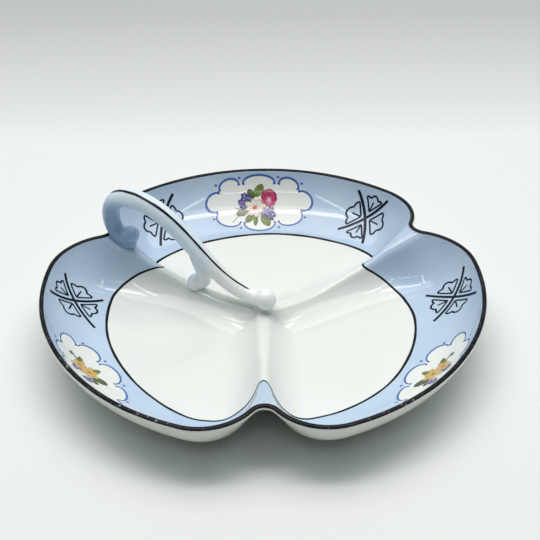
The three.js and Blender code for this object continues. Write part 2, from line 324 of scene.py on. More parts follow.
@dataclass(frozen=True)
class DishForm:
    """The three-lobed shell as functions of angle and lobe radius.

    The knots of the inner line are angles in degrees and lobe radii. The draft is the section that is
    spun before it is shaped: its radii and the rise of every second station. It is in metres, and so are
    the distances within which vertices are merged.
    """

    lobe_radius: float = 91.55
    notch_depth: float = 14.8
    notch_radius: float = 6.2
    shoulder_radius: float = 24.0
    notch_rise: float = 1.5
    rim_height: float = 26.5
    lip_radius: float = 1.2
    rim_angle: float = math.radians(69.0)
    floor_radius: float = 50.0
    floor_height: float = 6.0
    floor_thickness: float = 3.2
    floor_crowding: float = 1.1
    foot_radius: float = 46.5
    foot_width: float = 3.0
    foot_flare: float = 0.6
    foot_rounding: float = 0.7
    foot_waist: Pair = (0.3, 0.55)
    foot_setback: float = 0.8
    foot_steps: int = 6
    band_end: float = math.radians(85.0)
    ridge_half_width: float = 18.5
    ridge_start: float = 14.0
    ridge_middle: float = 7.6
    ridge_saddle: float = 6.9
    saddle_reach: float = 24.0
    ridge_line: float = 11.4
    valley_share: float = 0.7
    line_radius: float = 65.5
    line_knots: tuple[Pair, ...] = (
        (0.0, 64.4), (18.0, 62.6), (27.0, 64.7), (41.0, 67.3), (48.0, 67.5), (63.0, 66.4),
        (81.0, 65.6), (108.0, 64.8), (126.0, 65.2), (148.0, 64.9), (151.5, 67.3), (155.0, 68.7),
        (162.0, 68.0), (183.0, 66.4), (210.0, 64.7), (225.0, 65.4), (237.0, 66.9), (245.0, 67.8),
        (252.0, 66.1), (255.0, 64.6), (260.5, 63.2), (264.0, 64.1), (270.0, 65.8), (274.0, 67.0),
        (279.0, 65.8), (285.0, 64.5), (297.0, 65.3), (315.0, 65.4), (336.0, 64.6),
    )
    first_notch: float = math.radians(30.0)
    axis_y: float = -2.0475
    crowding: float = 1.35
    line_seat: float = 0.02
    line_sink: float = 0.1
    draft: Triple = (0.02, 0.04, 0.001)
    draft_merge: float = 1e-7
    merge: float = 1e-6
    wall_samples: int = 3001
    crest_samples: int = 300

    @property
    def notch_rim(self) -> float:
        """Radius of the rim in a notch."""
        return self.lobe_radius - self.notch_depth

    @property
    def shoulder_reach(self) -> float:
        """Distance of a shoulder arc's centre from the axis."""
        return self.lobe_radius - self.shoulder_radius

    @property
    def notch_reach(self) -> float:
        """Distance of a notch arc's centre from the axis."""
        return self.notch_rim + self.notch_radius

    @property
    def shoulder_angle(self) -> float:
        """Angle between a notch and the end of its shoulder."""
        a, b = self.shoulder_reach, self.notch_reach
        c = self.shoulder_radius + self.notch_radius
        return math.acos((a * a + b * b - c * c) / (2.0 * a * b))

    @property
    def underside(self) -> float:
        """Height of the floor's underside."""
        return self.floor_height - self.floor_thickness

    @property
    def inner_top(self) -> Pair:
        """Radius and height at which the inner wall meets the lip."""
        x, z = self.wall(np.array([1.0]), -1)
        return float(x[0]), float(z[0])

    def outline(self, angle: Array, offset: Array | float) -> Array:
        """Radius of the rim near a notch.

        Args:
            angle: Angle from the middle of the notch.
            offset: Distance outwards from the rim's own line.

        Returns:
            The radius: a lobe, a shoulder and a notch arc that meet tangentially.
        """
        reach, turn_end = self.shoulder_reach, self.shoulder_angle
        share = (self.notch_radius - offset) / (self.shoulder_radius + self.notch_radius)
        across = share * reach * math.sin(turn_end)
        along = self.notch_reach + (reach * math.cos(turn_end) - self.notch_reach) * share
        turn = angle - turn_end
        arc = self.shoulder_radius + offset
        shoulder = reach * np.cos(turn) + np.sqrt(np.maximum(arc**2 - (reach * np.sin(turn)) ** 2, 0.0))
        hollow = (self.notch_radius - offset) ** 2 - (self.notch_reach * np.sin(angle)) ** 2
        notch = self.notch_reach * np.cos(angle) - np.sqrt(np.maximum(hollow, 0.0))
        near = np.where(angle >= np.arctan2(across, along), shoulder, notch)
        return np.where(angle >= turn_end, self.lobe_radius + offset, near)

    def wall(self, share: Array, side: int) -> tuple[Array, Array]:
        """Radius and height along a wall of a lobe.

        Args:
            share: Places from 0 at the floor to 1 at the lip.
            side: -1 for the inner wall, 1 for the outer one.

        Returns:
            Radii and heights.
        """
        foot = self.floor_height if side < 0 else self.underside
        top_x = self.lobe_radius + side * self.lip_radius * math.sin(self.rim_angle)
        top_z = self.rim_height - self.lip_radius - side * self.lip_radius * math.cos(self.rim_angle)
        bend = top_x - (top_z - foot) / math.tan(self.rim_angle)
        a, b, c = (1.0 - share) ** 2, 2.0 * share * (1.0 - share), share * share
        return a * self.floor_radius + b * bend + c * top_x, (a + b) * foot + c * top_z

    @lru_cache(maxsize=4)
    def wall_table(self) -> tuple[Array, Array, Array]:
        """Closely spaced places along the inner wall.

        Returns:
            Their radius, share and arc length.
        """
        share = np.linspace(0.0, 1.0, self.wall_samples)
        x, z = self.wall(share, -1)
        arc = np.concatenate([[0.0], np.cumsum(np.hypot(np.diff(x), np.diff(z)))])
        return x, share, arc

    @lru_cache(maxsize=4)
    def crest_table(self) -> tuple[Array, Array]:
        """Closely spaced places along the crest of a ridge.

        Returns:
            Their reach and height.
        """
        top_x, top_z = self.inner_top
        line = (self.line_radius - self.notch_depth, self.floor_height + self.ridge_line)
        end = (top_x - self.notch_depth, top_z + self.notch_rise)
        middle = ((line[0] + end[0]) / 2.0, (line[1] + end[1]) / 2.0)
        start = (0.0, self.floor_height + self.ridge_middle)
        saddle = (self.saddle_reach, self.floor_height + self.ridge_saddle)
        p = np.array([start, start, saddle, line, middle, end, end])
        t = np.linspace(0.0, 1.0, self.crest_samples)[:, None]
        spans = []
        for i in range(1, 5):
            before, after = (p[i + 1] - p[i - 1]) / 2.0, (p[i + 2] - p[i]) / 2.0
            bend = 2.0 * p[i] - 2.0 * p[i + 1] + before + after
            sag = -3.0 * p[i] + 3.0 * p[i + 1] - 2.0 * before - after
            spans.append(((bend * t + sag) * t + before) * t + p[i])
        points = np.concatenate(spans)
        return points[:, 0], points[:, 1]

    def crest_height(self, reach: Array | float) -> Array:
        """Height of a ridge's crest at a distance from the axis."""
        return np.interp(reach, *self.crest_table())

    def pinch_depth(self, at: Array) -> Array:
        """How far a notch draws in the wall at a lobe radius."""
        return self.notch_depth * smoothstep(at, self.ridge_start, self.line_radius)

    def towards_rim(self, at: Array) -> Array:
        """Share of the way from the inner line to the rim."""
        return smoothstep(at, self.line_radius, self.inner_top[0])

    def half_width(self, at: Array) -> Array:
        """Half the width of a ridge at a lobe radius, round the dish."""
        wide = self.shoulder_angle * self.lobe_radius
        return self.ridge_half_width + (wide - self.ridge_half_width) * self.towards_rim(at)

    def ridge_lift(self, at: Array) -> Array:
        """Height of a crest over the plain bowl.

        Args:
            at: Lobe radii.

        Returns:
            Heights.
        """
        x, share, _ = self.wall_table()
        bowl = self.wall(np.interp(at, x, share), -1)[1]
        return self.crest_height(at - self.pinch_depth(at)) - bowl

    def fold(self, theta: Array) -> Array:
        """Angle from the nearest notch."""
        return np.abs((theta - self.first_notch + THIRD / 2.0) % THIRD - THIRD / 2.0)

    def pinch(self, theta: Array, at: Array, offset: Array) -> Array:
        """Share of the full pinch and lift, 1 in the middle of a ridge."""
        near = np.minimum(at * self.fold(theta) / self.half_width(at), 1.0) * self.shoulder_angle
        return (self.lobe_radius + offset - self.outline(near, offset)) / self.notch_depth

    def shape(self, theta: Array, section: Section) -> Array:
        """Points of the shell.

        Args:
            theta: Angle of each point.
            section: Station of each point.

        Returns:
            Points in the row frame.
        """
        drawn = self.pinch(theta, section.at, section.offset)
        reach = np.where(section.r < 1e-6, 0.0, section.r - self.pinch_depth(section.at) * drawn)
        height = section.z + section.lift * self.ridge_lift(section.at) * drawn
        return np.stack([reach * np.cos(theta), reach * np.sin(theta) + self.axis_y, height], axis=-1)

    def inner_offset(self, share: Array) -> Array:
        """Offset of the inner wall from the middle of the wall."""
        return (self.wall(share, -1)[0] - self.wall(share, 1)[0]) / 2.0

    def top(self, at: Array, theta: Array) -> Array:
        """Points of the upper side.

        Args:
            at: Lobe radii.
            theta: Angles.

        Returns:
            Points in the row frame.
        """
        x, share_of, _ = self.wall_table()
        share = np.interp(at, x, share_of)
        z = self.wall(share, -1)[1]
        return self.shape(theta, Section(at, z, at, self.inner_offset(share), np.ones_like(at), at))

    def normal(self, at: Array, theta: Array) -> Array:
        """Upward normals of the upper side.

        Args:
            at: Lobe radii.
            theta: Angles.

        Returns:
            Unit vectors.
        """
        step = 0.02
        out = self.top(at + step, theta) - self.top(at - step, theta)
        turn = step / np.maximum(at, 1.0)
        round_it = self.top(at, theta + turn) - self.top(at, theta - turn)
        return unit(np.cross(out, round_it))

    def over_glaze(self, at: Array, theta: Array, lift: Array) -> Array:
        """Points at heights over the upper side."""
        return self.top(at, theta) + self.normal(at, theta) * lift[:, None]

    def painted_line(self, theta: Array) -> Array:
        """Lobe radius of the inner line, which was banded by hand a little unevenly.

        Args:
            theta: Angles round the dish.

        Returns:
            Radii on a smooth closed curve through the knots.
        """
        turns, radii = np.array(self.line_knots).T
        turns = np.concatenate([turns[-2:] - 360.0, turns, turns[:2] + 360.0])
        radii = np.concatenate([radii[-2:], radii, radii[:2]])
        rises = np.diff(radii) / np.diff(turns)
        product, total = rises[1:] * rises[:-1], rises[1:] + rises[:-1]
        slopes = np.where(product > 0.0, 2.0 * product / np.where(product > 0.0, total, 1.0), 0.0)
        turns, radii = turns[1:-1], radii[1:-1]
        at = np.degrees(theta) % 360.0
        k = np.searchsorted(turns, at, side="right") - 1
        wide = turns[k + 1] - turns[k]
        s = (at - turns[k]) / wide
        before = radii[k] + (slopes[k] * wide + 2.0 * radii[k]) * s
        after = radii[k + 1] * (3.0 - 2.0 * s) - slopes[k + 1] * wide * (1.0 - s)
        return before * (1.0 - s) ** 2 + after * s * s

    def upper_section(self, floor_steps: int, wall_steps: int, lip_steps: int) -> Section:
        """Upper side from the axis over the lip.

        Args:
            floor_steps: Stations on the floor.
            wall_steps: Stations on the wall.
            lip_steps: Stations on the lip.

        Returns:
            The stations, from the axis outwards.
        """
        outwards = np.linspace(0.0, 1.0, floor_steps, endpoint=False)
        radii = self.floor_radius * outwards**self.floor_crowding
        ones, none = np.ones_like(radii), np.zeros_like(radii)
        floor = Section(radii, ones * self.floor_height, radii, none, ones, radii)
        share = np.linspace(0.0, 1.0, wall_steps)
        x, z = self.wall(share, -1)
        wall = Section(x, z, x, self.inner_offset(share), np.ones_like(x), x)
        turn = self.rim_angle + math.pi * (0.5 - np.linspace(0.0, 1.0, lip_steps + 2)[1:-1])
        return Section.chain([floor, wall, self.lip_section(turn, self.lip_radius)])

    def lip_section(self, turn: Array, radius: Array | float) -> Section:
        """Stations round the lip's centre.

        Args:
            turn: Angle of each station, from the outside upwards.
            radius: Distance of each station from the lip's centre.

        Returns:
            The stations.
        """
        out, up = radius * np.cos(turn), radius * np.sin(turn)
        same = np.full_like(turn, self.inner_top[0])
        band = np.where(turn > self.band_end, same, OUTSIDE_BAND)
        height = self.rim_height - self.lip_radius + up
        return Section(self.lobe_radius + out, height, same, out, np.ones_like(turn), band)

    def under_section(self, wall_steps: int, floor_steps: int) -> Section:
        """Outer wall, foot ring and underside, from the lip to the axis.

        Args:
            wall_steps: Stations on the wall.
            floor_steps: Stations under the floor.

        Returns:
            The stations, from the lip inwards.
        """
        share = np.linspace(1.0, 0.0, wall_steps)
        x, z = self.wall(share, 1)
        at = self.wall(share, -1)[0]
        valley = self.valley_share + (1.0 - self.valley_share) * self.towards_rim(at)
        wall = Section(x, z, at, -self.inner_offset(share), valley, np.full_like(x, OUTSIDE_BAND))
        foot_r, foot_z = self.foot_line()
        same = np.full_like(foot_r, self.foot_radius)
        lift = self.valley_share * foot_z / self.underside
        foot = Section(foot_r, foot_z, same, np.zeros_like(same), lift, np.full_like(same, OUTSIDE_BAND))
        r = (foot_r[-1] - self.foot_setback) * np.linspace(1.0, 0.0, floor_steps)
        flat = np.full_like(r, self.underside)
        share_under = np.full_like(r, self.valley_share)
        floor = Section(r, flat, r, np.zeros_like(r), share_under, np.full_like(r, OUTSIDE_BAND))
        return Section.chain([wall, foot, floor])

    def foot_line(self) -> tuple[Array, Array]:
        """Section of the foot ring, with rounded edges.

        Returns:
            Radii and heights, from the outside inwards.
        """
        half, soft, up = self.foot_width / 2.0, self.foot_rounding, self.underside
        waist_out, waist_up = self.foot_waist
        side = np.array([[half + self.foot_flare, up], [half + waist_out, up * waist_up]])
        turn = np.linspace(0.0, math.pi / 2.0, self.foot_steps)
        corner = np.stack([half - soft + soft * np.cos(turn), soft - soft * np.sin(turn)], axis=1)
        outer = np.concatenate([side, corner])
        inner = outer[::-1] * np.array([-1.0, 1.0])
        line = np.concatenate([outer, inner])
        return self.foot_radius + line[:, 0], line[:, 1]

    def spun_angle(self, theta: Array) -> Array:
        """Crowd the angles of even spin steps towards the notches.

        Args:
            theta: Angles of the steps.

        Returns:
            The crowded angles.
        """
        thirds = (theta - self.first_notch) / THIRD
        whole = np.floor(thirds)
        share = thirds - whole
        half = 0.5 * (2.0 * np.minimum(share, 1.0 - share)) ** self.crowding
        return self.first_notch + THIRD * (whole + np.where(share <= 0.5, half, 1.0 - half))

    def revolve(self, name: str, count: int, steps: int, ring: bool) -> tuple[Piece, Array, Array]:
        """Spin the draft of a section into a mesh.

        Args:
            name: Name of the object.
            count: Stations of the section.
            steps: Segments round the axis.
            ring: Whether the section is a closed ring off the axis.

        Returns:
            The object, the station number of each vertex and the angle of each vertex.
        """
        deselect()
        bpy.ops.mesh.primitive_circle_add(vertices=count, radius=1.0, fill_type="NOTHING")
        piece = bpy.context.object
        piece.name, piece.data.name = name, name
        near, far, rise = self.draft
        number = np.arange(count)
        spread = np.linspace(near if ring else 0.0, far, count)
        drawn = np.stack([spread, np.zeros(count), rise * (number % 2) * ring], axis=1)
        piece.data.vertices.foreach_set("co", drawn.astype(np.float32).ravel())
        write_attribute(piece.data, "station", number)
        if ring:
            bpy.ops.object.mode_set(mode="EDIT")
        else:
            ends = edge_ends(piece.data)
            edit_edges(piece, np.abs(ends[:, 0] - ends[:, 1]) > 1)
            bpy.ops.mesh.delete(type="EDGE_FACE")
        bpy.ops.mesh.select_mode(type="VERT")
        bpy.ops.mesh.select_all(action="SELECT")
        bpy.ops.mesh.spin(steps=steps, angle=FULL_TURN, center=(0, 0, 0), axis=(0, 0, 1))
        bpy.ops.mesh.select_all(action="SELECT")
        bpy.ops.mesh.remove_doubles(threshold=self.draft_merge)
        bpy.ops.object.mode_set(mode="OBJECT")
        points = read_points(piece.data)
        station = np.rint(read_attribute(piece.data, "station")).astype(int)
        theta = self.spun_angle(np.arctan2(points[:, 1], points[:, 0]) % FULL_TURN)
        piece.data.attributes.remove(piece.data.attributes["station"])
        return piece, station, theta

    def lens(
        self, name: str, steps: int, across: int, thickness: float
    ) -> tuple[Piece, Array, Array, Array]:
        """Spin the flat ring that a painted line is shaped from.

        Args:
            name: Name of the object.
            steps: Segments round the axis.
            across: Vertices across its upper side.
            thickness: How far it stands over its seat.

        Returns:
            The object and, for each vertex, its place across from -1 to 1, its lift and its angle.
        """
        places = np.concatenate([np.linspace(-1.0, 1.0, across), np.linspace(1.0, -1.0, across)[1:-1]])
        dome = thickness * np.sqrt(np.maximum(1.0 - places**4, 0.0))
        lift = self.line_seat + np.where(np.arange(len(places)) < across, dome, -self.line_sink)
        piece, station, theta = self.revolve(name, len(places), steps, True)
        return piece, places[station], lift[station], theta

    def close(self, piece: Piece) -> None:
        """Merge what fell together on the axis and turn the faces outwards.

        Args:
            piece: The shaped piece.
        """
        edit_all(piece)
        bpy.ops.mesh.remove_doubles(threshold=self.merge)
        bpy.ops.mesh.normals_make_consistent(inside=False)
        bpy.ops.object.mode_set(mode="OBJECT")


# Finishes


class NodeSheet:
    """The nodes and links of a material or of the sky."""

    def __init__(self, tree: bpy.types.NodeTree) -> None:
        """Take a node tree and empty it."""
        self.tree = tree
        self.tree.nodes.clear()

    def node(self, kind: str, **settings: object) -> bpy.types.Node:
        """Add a node with settings.

        Args:
            kind: Blender's name of the node type.
            **settings: Properties of the node.

        Returns:
            The node.
        """
        made = self.tree.nodes.new(kind)
        for name, value in settings.items():
            setattr(made, name, value)
        return made

    def link(self, source: Socket, target: Socket) -> None:
        """Join two sockets."""
        self.tree.links.new(source, target)

    def feed(self, source: Socket | float, target: Socket) -> None:
        """Join a socket to another, or set a number on it.

        Args:
            source: A socket or a number.
            target: The socket that takes it.
        """
        if isinstance(source, float):
            target.default_value = source
        else:
            self.link(source, target)

    def math(self, operation: str, *values: Socket | float) -> Socket:
        """Work out a sum.

        Args:
            operation: Blender's name of it.
            *values: What it takes.

        Returns:
            The result.
        """
        made = self.node("ShaderNodeMath", operation=operation)
        for socket, value in zip(made.inputs, values):
            self.feed(value, socket)
        return made.outputs[0]

    def span(self, value: Socket, source: Pair, target: Pair = (0.0, 1.0), smooth: bool = True) -> Socket:
        """Carry a value from one range to another.

        Args:
            value: The value.
            source: Ends of the range that it comes from.
            target: Ends of the range that it goes to.
            smooth: Whether it eases in and out.

        Returns:
            The carried value.
        """
        made = self.node("ShaderNodeMapRange", interpolation_type="SMOOTHSTEP" if smooth else "LINEAR")
        for name, number in zip(("From Min", "From Max", "To Min", "To Max"), (*source, *target)):
            made.inputs[name].default_value = number
        self.link(value, made.inputs["Value"])
        return made.outputs["Result"]

    def parts(self, vector: Socket) -> dict[str, Socket]:
        """Take a vector apart.

        Args:
            vector: The vector.

        Returns:
            Its X, Y and Z.
        """
        made = self.node("ShaderNodeSeparateXYZ")
        self.link(vector, made.inputs["Vector"])
        return {axis: made.outputs[axis] for axis in "XYZ"}


class Shader(NodeSheet):
    """A material with one glossy surface.

    Patches of uneven gloss are counted per metre, and uneven holds their least and greatest roughness as
    shares of the mean. The inputs of a colour mix are its factor, first colour and second colour.
    """

    index: float = 1.5
    patch: float = 70.0
    uneven: Pair = (0.7, 1.3)
    wave_height: float = 0.0004
    mix_inputs: tuple[int, int, int] = (0, 6, 7)
    mix_output: int = 2

    def __init__(self, name: str) -> None:
        """Start a material that has a surface and nothing else.

        Args:
            name: Its name.
        """
        self.material = bpy.data.materials.new(name)
        self.material.use_nodes = True
        super().__init__(self.material.node_tree)
        self.bsdf = self.node("ShaderNodeBsdfPrincipled")
        output = self.node("ShaderNodeOutputMaterial")
        self.link(self.bsdf.outputs["BSDF"], output.inputs["Surface"])
        self.coords = self.node("ShaderNodeTexCoord").outputs["Object"]

    def noise(self, scale: float, detail: float = 3.0, rough: float = 0.5) -> Socket:
        """Soft noise in the piece's own space.

        Args:
            scale: Features per metre.
            detail: Octaves.
            rough: Strength of the finer octaves.

        Returns:
            A value from about 0.3 to 0.7.
        """
        made = self.node("ShaderNodeTexNoise")
        made.inputs["Scale"].default_value = scale
        made.inputs["Detail"].default_value = detail
        made.inputs["Roughness"].default_value = rough
        self.link(self.coords, made.inputs["Vector"])
        return made.outputs["Fac"]

    def attribute(self, name: str, output: str = "Fac") -> Socket:
        """A number or colour kept on the mesh."""
        return self.node("ShaderNodeAttribute", attribute_name=name).outputs[output]

    def ramp(self, value: Socket, stops: list[Stop]) -> Socket:
        """Colour a value.

        Args:
            value: What to colour.
            stops: Places and their linear colours.

        Returns:
            The colour.
        """
        made = self.node("ShaderNodeValToRGB")
        elements = made.color_ramp.elements
        while len(elements) < len(stops):
            elements.new(0.5)
        for element, (position, colour) in zip(elements, stops):
            element.position = position
            element.color = (*colour, 1.0)
        self.link(value, made.inputs["Fac"])
        return made.outputs["Color"]

    def clouded(
        self, scale: float, low: Stop, high: Stop, detail: float = 3.0, rough: float = 0.5
    ) -> Socket:
        """Two colours that drift into each other, one up to low in the noise and one from high."""
        return self.ramp(self.noise(scale, detail, rough), [low, high])

    def mix(self, factor: Socket | float, first: Socket, second: Socket, blend: str = "MIX") -> Socket:
        """Mix two colours.

        Args:
            factor: Share of the second.
            first: Colour at 0.
            second: Colour at 1.
            blend: Way of mixing.

        Returns:
            The mixed colour.
        """
        made = self.node("ShaderNodeMix", data_type="RGBA", blend_type=blend)
        for number, source in zip(self.mix_inputs, (factor, first, second)):
            self.feed(source, made.inputs[number])
        return made.outputs[self.mix_output]

    def paint(self, colour: Socket) -> None:
        """Give the surface a colour."""
        self.link(colour, self.bsdf.inputs["Base Color"])

    def glazed(self, colour: Socket, rough: float, wave: Pair) -> Material:
        """Colour the surface and give it the gloss of a fired glaze.

        Args:
            colour: Its colour.
            rough: Its roughness.
            wave: Strength of the slow waviness of the glaze, and waves per metre.

        Returns:
            The finished material.
        """
        self.paint(colour)
        self.bsdf.inputs["IOR"].default_value = self.index
        least, most = self.uneven
        patches = self.span(self.noise(self.patch), (0.0, 1.0), (rough * least, rough * most), False)
        self.link(patches, self.bsdf.inputs["Roughness"])
        bump = self.node("ShaderNodeBump")
        bump.inputs["Strength"].default_value = wave[0]
        bump.inputs["Distance"].default_value = self.wave_height
        self.link(self.noise(wave[1], 2.0), bump.inputs["Height"])
        self.link(bump.outputs["Normal"], self.bsdf.inputs["Normal"])
        return self.material


@dataclass(frozen=True)
class PorcelainFinish:
    """White glaze with the pale blue ground of the band sprayed on it.

    Colours are linear. Clouds, grains and waves are counted per metre. A wave is a strength and a count.
    """

    white: Colour = (0.803, 0.81, 0.778)
    shade: Colour = (0.775, 0.788, 0.752)
    blue: Colour = (0.53, 0.645, 0.788)
    deep: Colour = (0.457, 0.58, 0.753)
    # Painted light in part: these three handle colours are kept lighter than the dish's glaze, so the
    # handle looks more brightly lit than the lamps make it.
    thin: Colour = (0.745, 0.835, 1.0)
    thinnest: Colour = (0.835, 0.905, 1.0)
    bright: Colour = (0.97, 0.975, 0.96)
    # Deep blue low in the curl: partly glaze pooled there, partly painted shade.
    pool: Colour = (0.28, 0.41, 0.6)
    rough: float = 0.065
    depth: float = 0.8
    scatter: float = 0.004
    glaze_cloud: float = 22.0
    ground_cloud: float = 30.0
    coat_cloud: float = 34.0
    grain: float = 2600.0
    grain_shade: Colour = (0.96, 0.96, 0.97)
    grain_light: Colour = (1.0, 1.0, 1.0)
    edge_blur: float = 0.25
    thin_from: float = 0.6
    shell_wave: Pair = (0.25, 45.0)
    handle_wave: Pair = (0.2, 60.0)
    reserve_wave: Pair = (0.2, 45.0)

    def white_glaze(self, shader: Shader) -> Socket:
        """Colour of the plain glaze."""
        return shader.clouded(self.glaze_cloud, (0.35, self.shade), (0.65, self.white))

    def blue_ground(self, shader: Shader) -> Socket:
        """Colour of the sprayed ground, a little uneven.

        Args:
            shader: The material that it is for.

        Returns:
            The colour.
        """
        cloud = shader.clouded(self.ground_cloud, (0.3, self.deep), (0.62, self.blue), 5.0, 0.6)
        speck = shader.clouded(self.grain, (0.3, self.grain_shade), (0.7, self.grain_light), 2.0)
        return shader.mix(1.0, cloud, speck, "MULTIPLY")

    def banded(self, name: str) -> Material:
        """Glaze of the dish, blue where the mesh says it is in the band.

        Args:
            name: Name of the material.

        Returns:
            The material.
        """
        shader = Shader(name)
        edge = shader.span(shader.attribute("band"), (-self.edge_blur, self.edge_blur))
        ground = shader.mix(edge, self.white_glaze(shader), self.blue_ground(shader))
        return shader.glazed(ground, self.rough, self.shell_wave)

    def faded(self, name: str) -> Material:
        """Glaze of the handle, left white at the ball, sprayed thinly on the strap and fully in the curl,
        whose deeper blue low down is partly pooled glaze and partly painted shade.

        Args:
            name: Name of the material.

        Returns:
            The material.
        """
        shader = Shader(name)
        band = shader.attribute("band")
        # Painted light in part: the handle's white is lighter than the dish's, so it looks more brightly
        # lit.
        clear = shader.clouded(self.glaze_cloud, (0.35, self.white), (0.65, self.bright))
        pale = shader.clouded(self.coat_cloud, (0.3, self.thin), (0.65, self.thinnest), 4.0)
        # Painted shade in part: the curl's deep blue, fullest low down.
        pooled_and_shaded = shader.clouded(self.coat_cloud, (0.35, self.pool), (0.75, self.deep), 4.0)
        coat = shader.mix(shader.span(band, (0.0, self.thin_from)), clear, pale)
        ground = shader.mix(shader.span(band, (self.thin_from, 1.0)), coat, pooled_and_shaded)
        shader.bsdf.inputs["Subsurface Weight"].default_value = self.depth
        shader.bsdf.inputs["Subsurface Radius"].default_value = (1.0, 1.0, 1.0)
        shader.bsdf.inputs["Subsurface Scale"].default_value = self.scatter
        return shader.glazed(ground, self.rough, self.handle_wave)

    def plain(self, name: str) -> Material:
        """White glaze alone."""
        shader = Shader(name)
        return shader.glazed(self.white_glaze(shader), self.rough, self.reserve_wave)


@dataclass(frozen=True)
class EnamelFinish:
    """Black banding enamel, worn in small patches where it is on an edge."""

    black: Colour = (0.006, 0.007, 0.011)
    brown: Colour = (0.022, 0.018, 0.022)
    bare: Colour = (0.62, 0.6, 0.6)
    rough: float = 0.12
    shine: float = 0.1
    cloud: float = 160.0
    fleck: float = 1000.0
    fleck_edge: Pair = (0.6, 0.64)
    bare_cloud: float = 400.0
    wave: Pair = (0.08, 300.0)

    def build(self, name: str, worn: bool) -> Material:
        """Make the material.

        Args:
            name: Its name.
            worn: Whether flecks of it are rubbed off.

        Returns:
            The material.
        """
        shader = Shader(name)
        colour = shader.clouded(self.cloud, (0.35, self.black), (0.7, self.brown), 4.0)
        if worn:
            fleck = shader.span(shader.noise(self.fleck, 3.0, 0.6), self.fleck_edge)
            bare = shader.clouded(self.bare_cloud, (0.3, self.brown), (0.6, self.bare))
            colour = shader.mix(shader.math("MULTIPLY", fleck, shader.attribute("wear")), colour, bare)
        shader.bsdf.inputs["Specular IOR Level"].default_value = self.shine
        return shader.glazed(colour, self.rough, self.wave)


@dataclass(frozen=True)
class PaintFinish:
    """Overglaze colours laid with a small brush, kept on the mesh."""

    rough: float = 0.12
    shine: float = 0.5
    brush: float = 1400.0
    thick: Colour = (0.74, 0.74, 0.74)
    thin: Colour = (0.92, 0.92, 0.92)
    wave: Pair = (0.2, 45.0)

    def build(self, name: str) -> Material:
        """Make the material.

        Args:
            name: Its name.

        Returns:
            The material.
        """
        shader = Shader(name)
        stroke = shader.clouded(self.brush, (0.3, self.thick), (0.7, self.thin), 4.0, 0.6)
        colour = shader.mix(1.0, shader.attribute("paint", "Color"), stroke, "MULTIPLY")
        shader.bsdf.inputs["Specular IOR Level"].default_value = self.shine
        return shader.glazed(colour, self.rough, self.wave)


# Dish and its lines


@dataclass(frozen=True)
class DishBody:
    """The cast shell: floor, three ridges, walls, lip and foot ring."""

    form: DishForm
    steps: int = 432
    floor_steps: int = 40
    wall_steps: int = 52
    lip_steps: int = 14
    outer_steps: int = 30
    under_steps: int = 14

    def build(self, finish: PorcelainFinish) -> Piece:
        """Spin the section, pinch it to three lobes and glaze it.

        Args:
            finish: Its glaze.

        Returns:
            The shell.
        """
        upper = self.form.upper_section(self.floor_steps, self.wall_steps, self.lip_steps)
        section = Section.chain([upper, self.form.under_section(self.outer_steps, self.under_steps)])
        piece, station, theta = self.form.revolve("dish_shell", len(section.r), self.steps, False)
        section = section.picked(station)
        write_points(piece.data, self.form.shape(theta, section))
        write_attribute(piece.data, "band", section.band - self.form.painted_line(theta))
        self.form.close(piece)
        return place(piece, finish.banded("banded_porcelain"), ("dish_body",))


@dataclass(frozen=True)
class RimLine:
    """The black line over the lip, banded by hand.

    Its turns are angles round the lip's centre. Worn stretches are an angle and a width in degrees and a
    strength, and waves of its edges are a share, a count round the dish and a share of the phase.
    """

    form: DishForm
    inner_turn: float = math.radians(141.0)
    outer_turn: float = math.radians(26.0)
    side_turn: float = math.radians(13.0)
    worn: tuple[Triple, ...] = ((212.0, 8.0, 0.8), (240.0, 8.0, 1.0), (306.0, 6.0, 0.8))
    worn_all: float = 0.1
    thickness: float = 0.16
    waver: float = math.radians(5.0)
    waves: tuple[Triple, ...] = ((0.5, 7.0, 1.0), (0.3, 17.0, 2.1), (0.2, 41.0, 0.0))
    phases: Pair = (0.4, 2.2)
    steps: int = 648
    across: int = 9

    def edge(self, theta: Array, phase: float) -> Array:
        """Slow waver of an edge round the dish."""
        waves = (much * np.sin(count * theta + part * phase) for much, count, part in self.waves)
        return self.waver * sum(waves)

    def build(self, finish: EnamelFinish) -> Piece:
        """Spin a flat lens over the lip and pinch it with the rim.

        Args:
            finish: Its enamel.

        Returns:
            The line.
        """
        piece, across, lift, theta = self.form.lens("rim_band", self.steps, self.across, self.thickness)
        inner = self.inner_turn + self.edge(theta, self.phases[0])
        front = np.maximum(-np.sin(theta), 0.0) ** 2
        outer = self.outer_turn + self.side_turn * (1.0 - front) + self.edge(theta, self.phases[1])
        turn = inner + (outer - inner) * (across + 1.0) / 2.0
        lip = self.form.lip_section(turn, self.form.lip_radius + lift)
        write_points(piece.data, self.form.shape(theta, lip))
        wear = sum(much * hump(theta, middle, wide) for middle, wide, much in self.worn)
        write_attribute(piece.data, "wear", np.minimum(wear + self.worn_all, 1.0))
        self.form.close(piece)
        return place(piece, finish.build("worn_black_enamel", True), ("rim_line",))


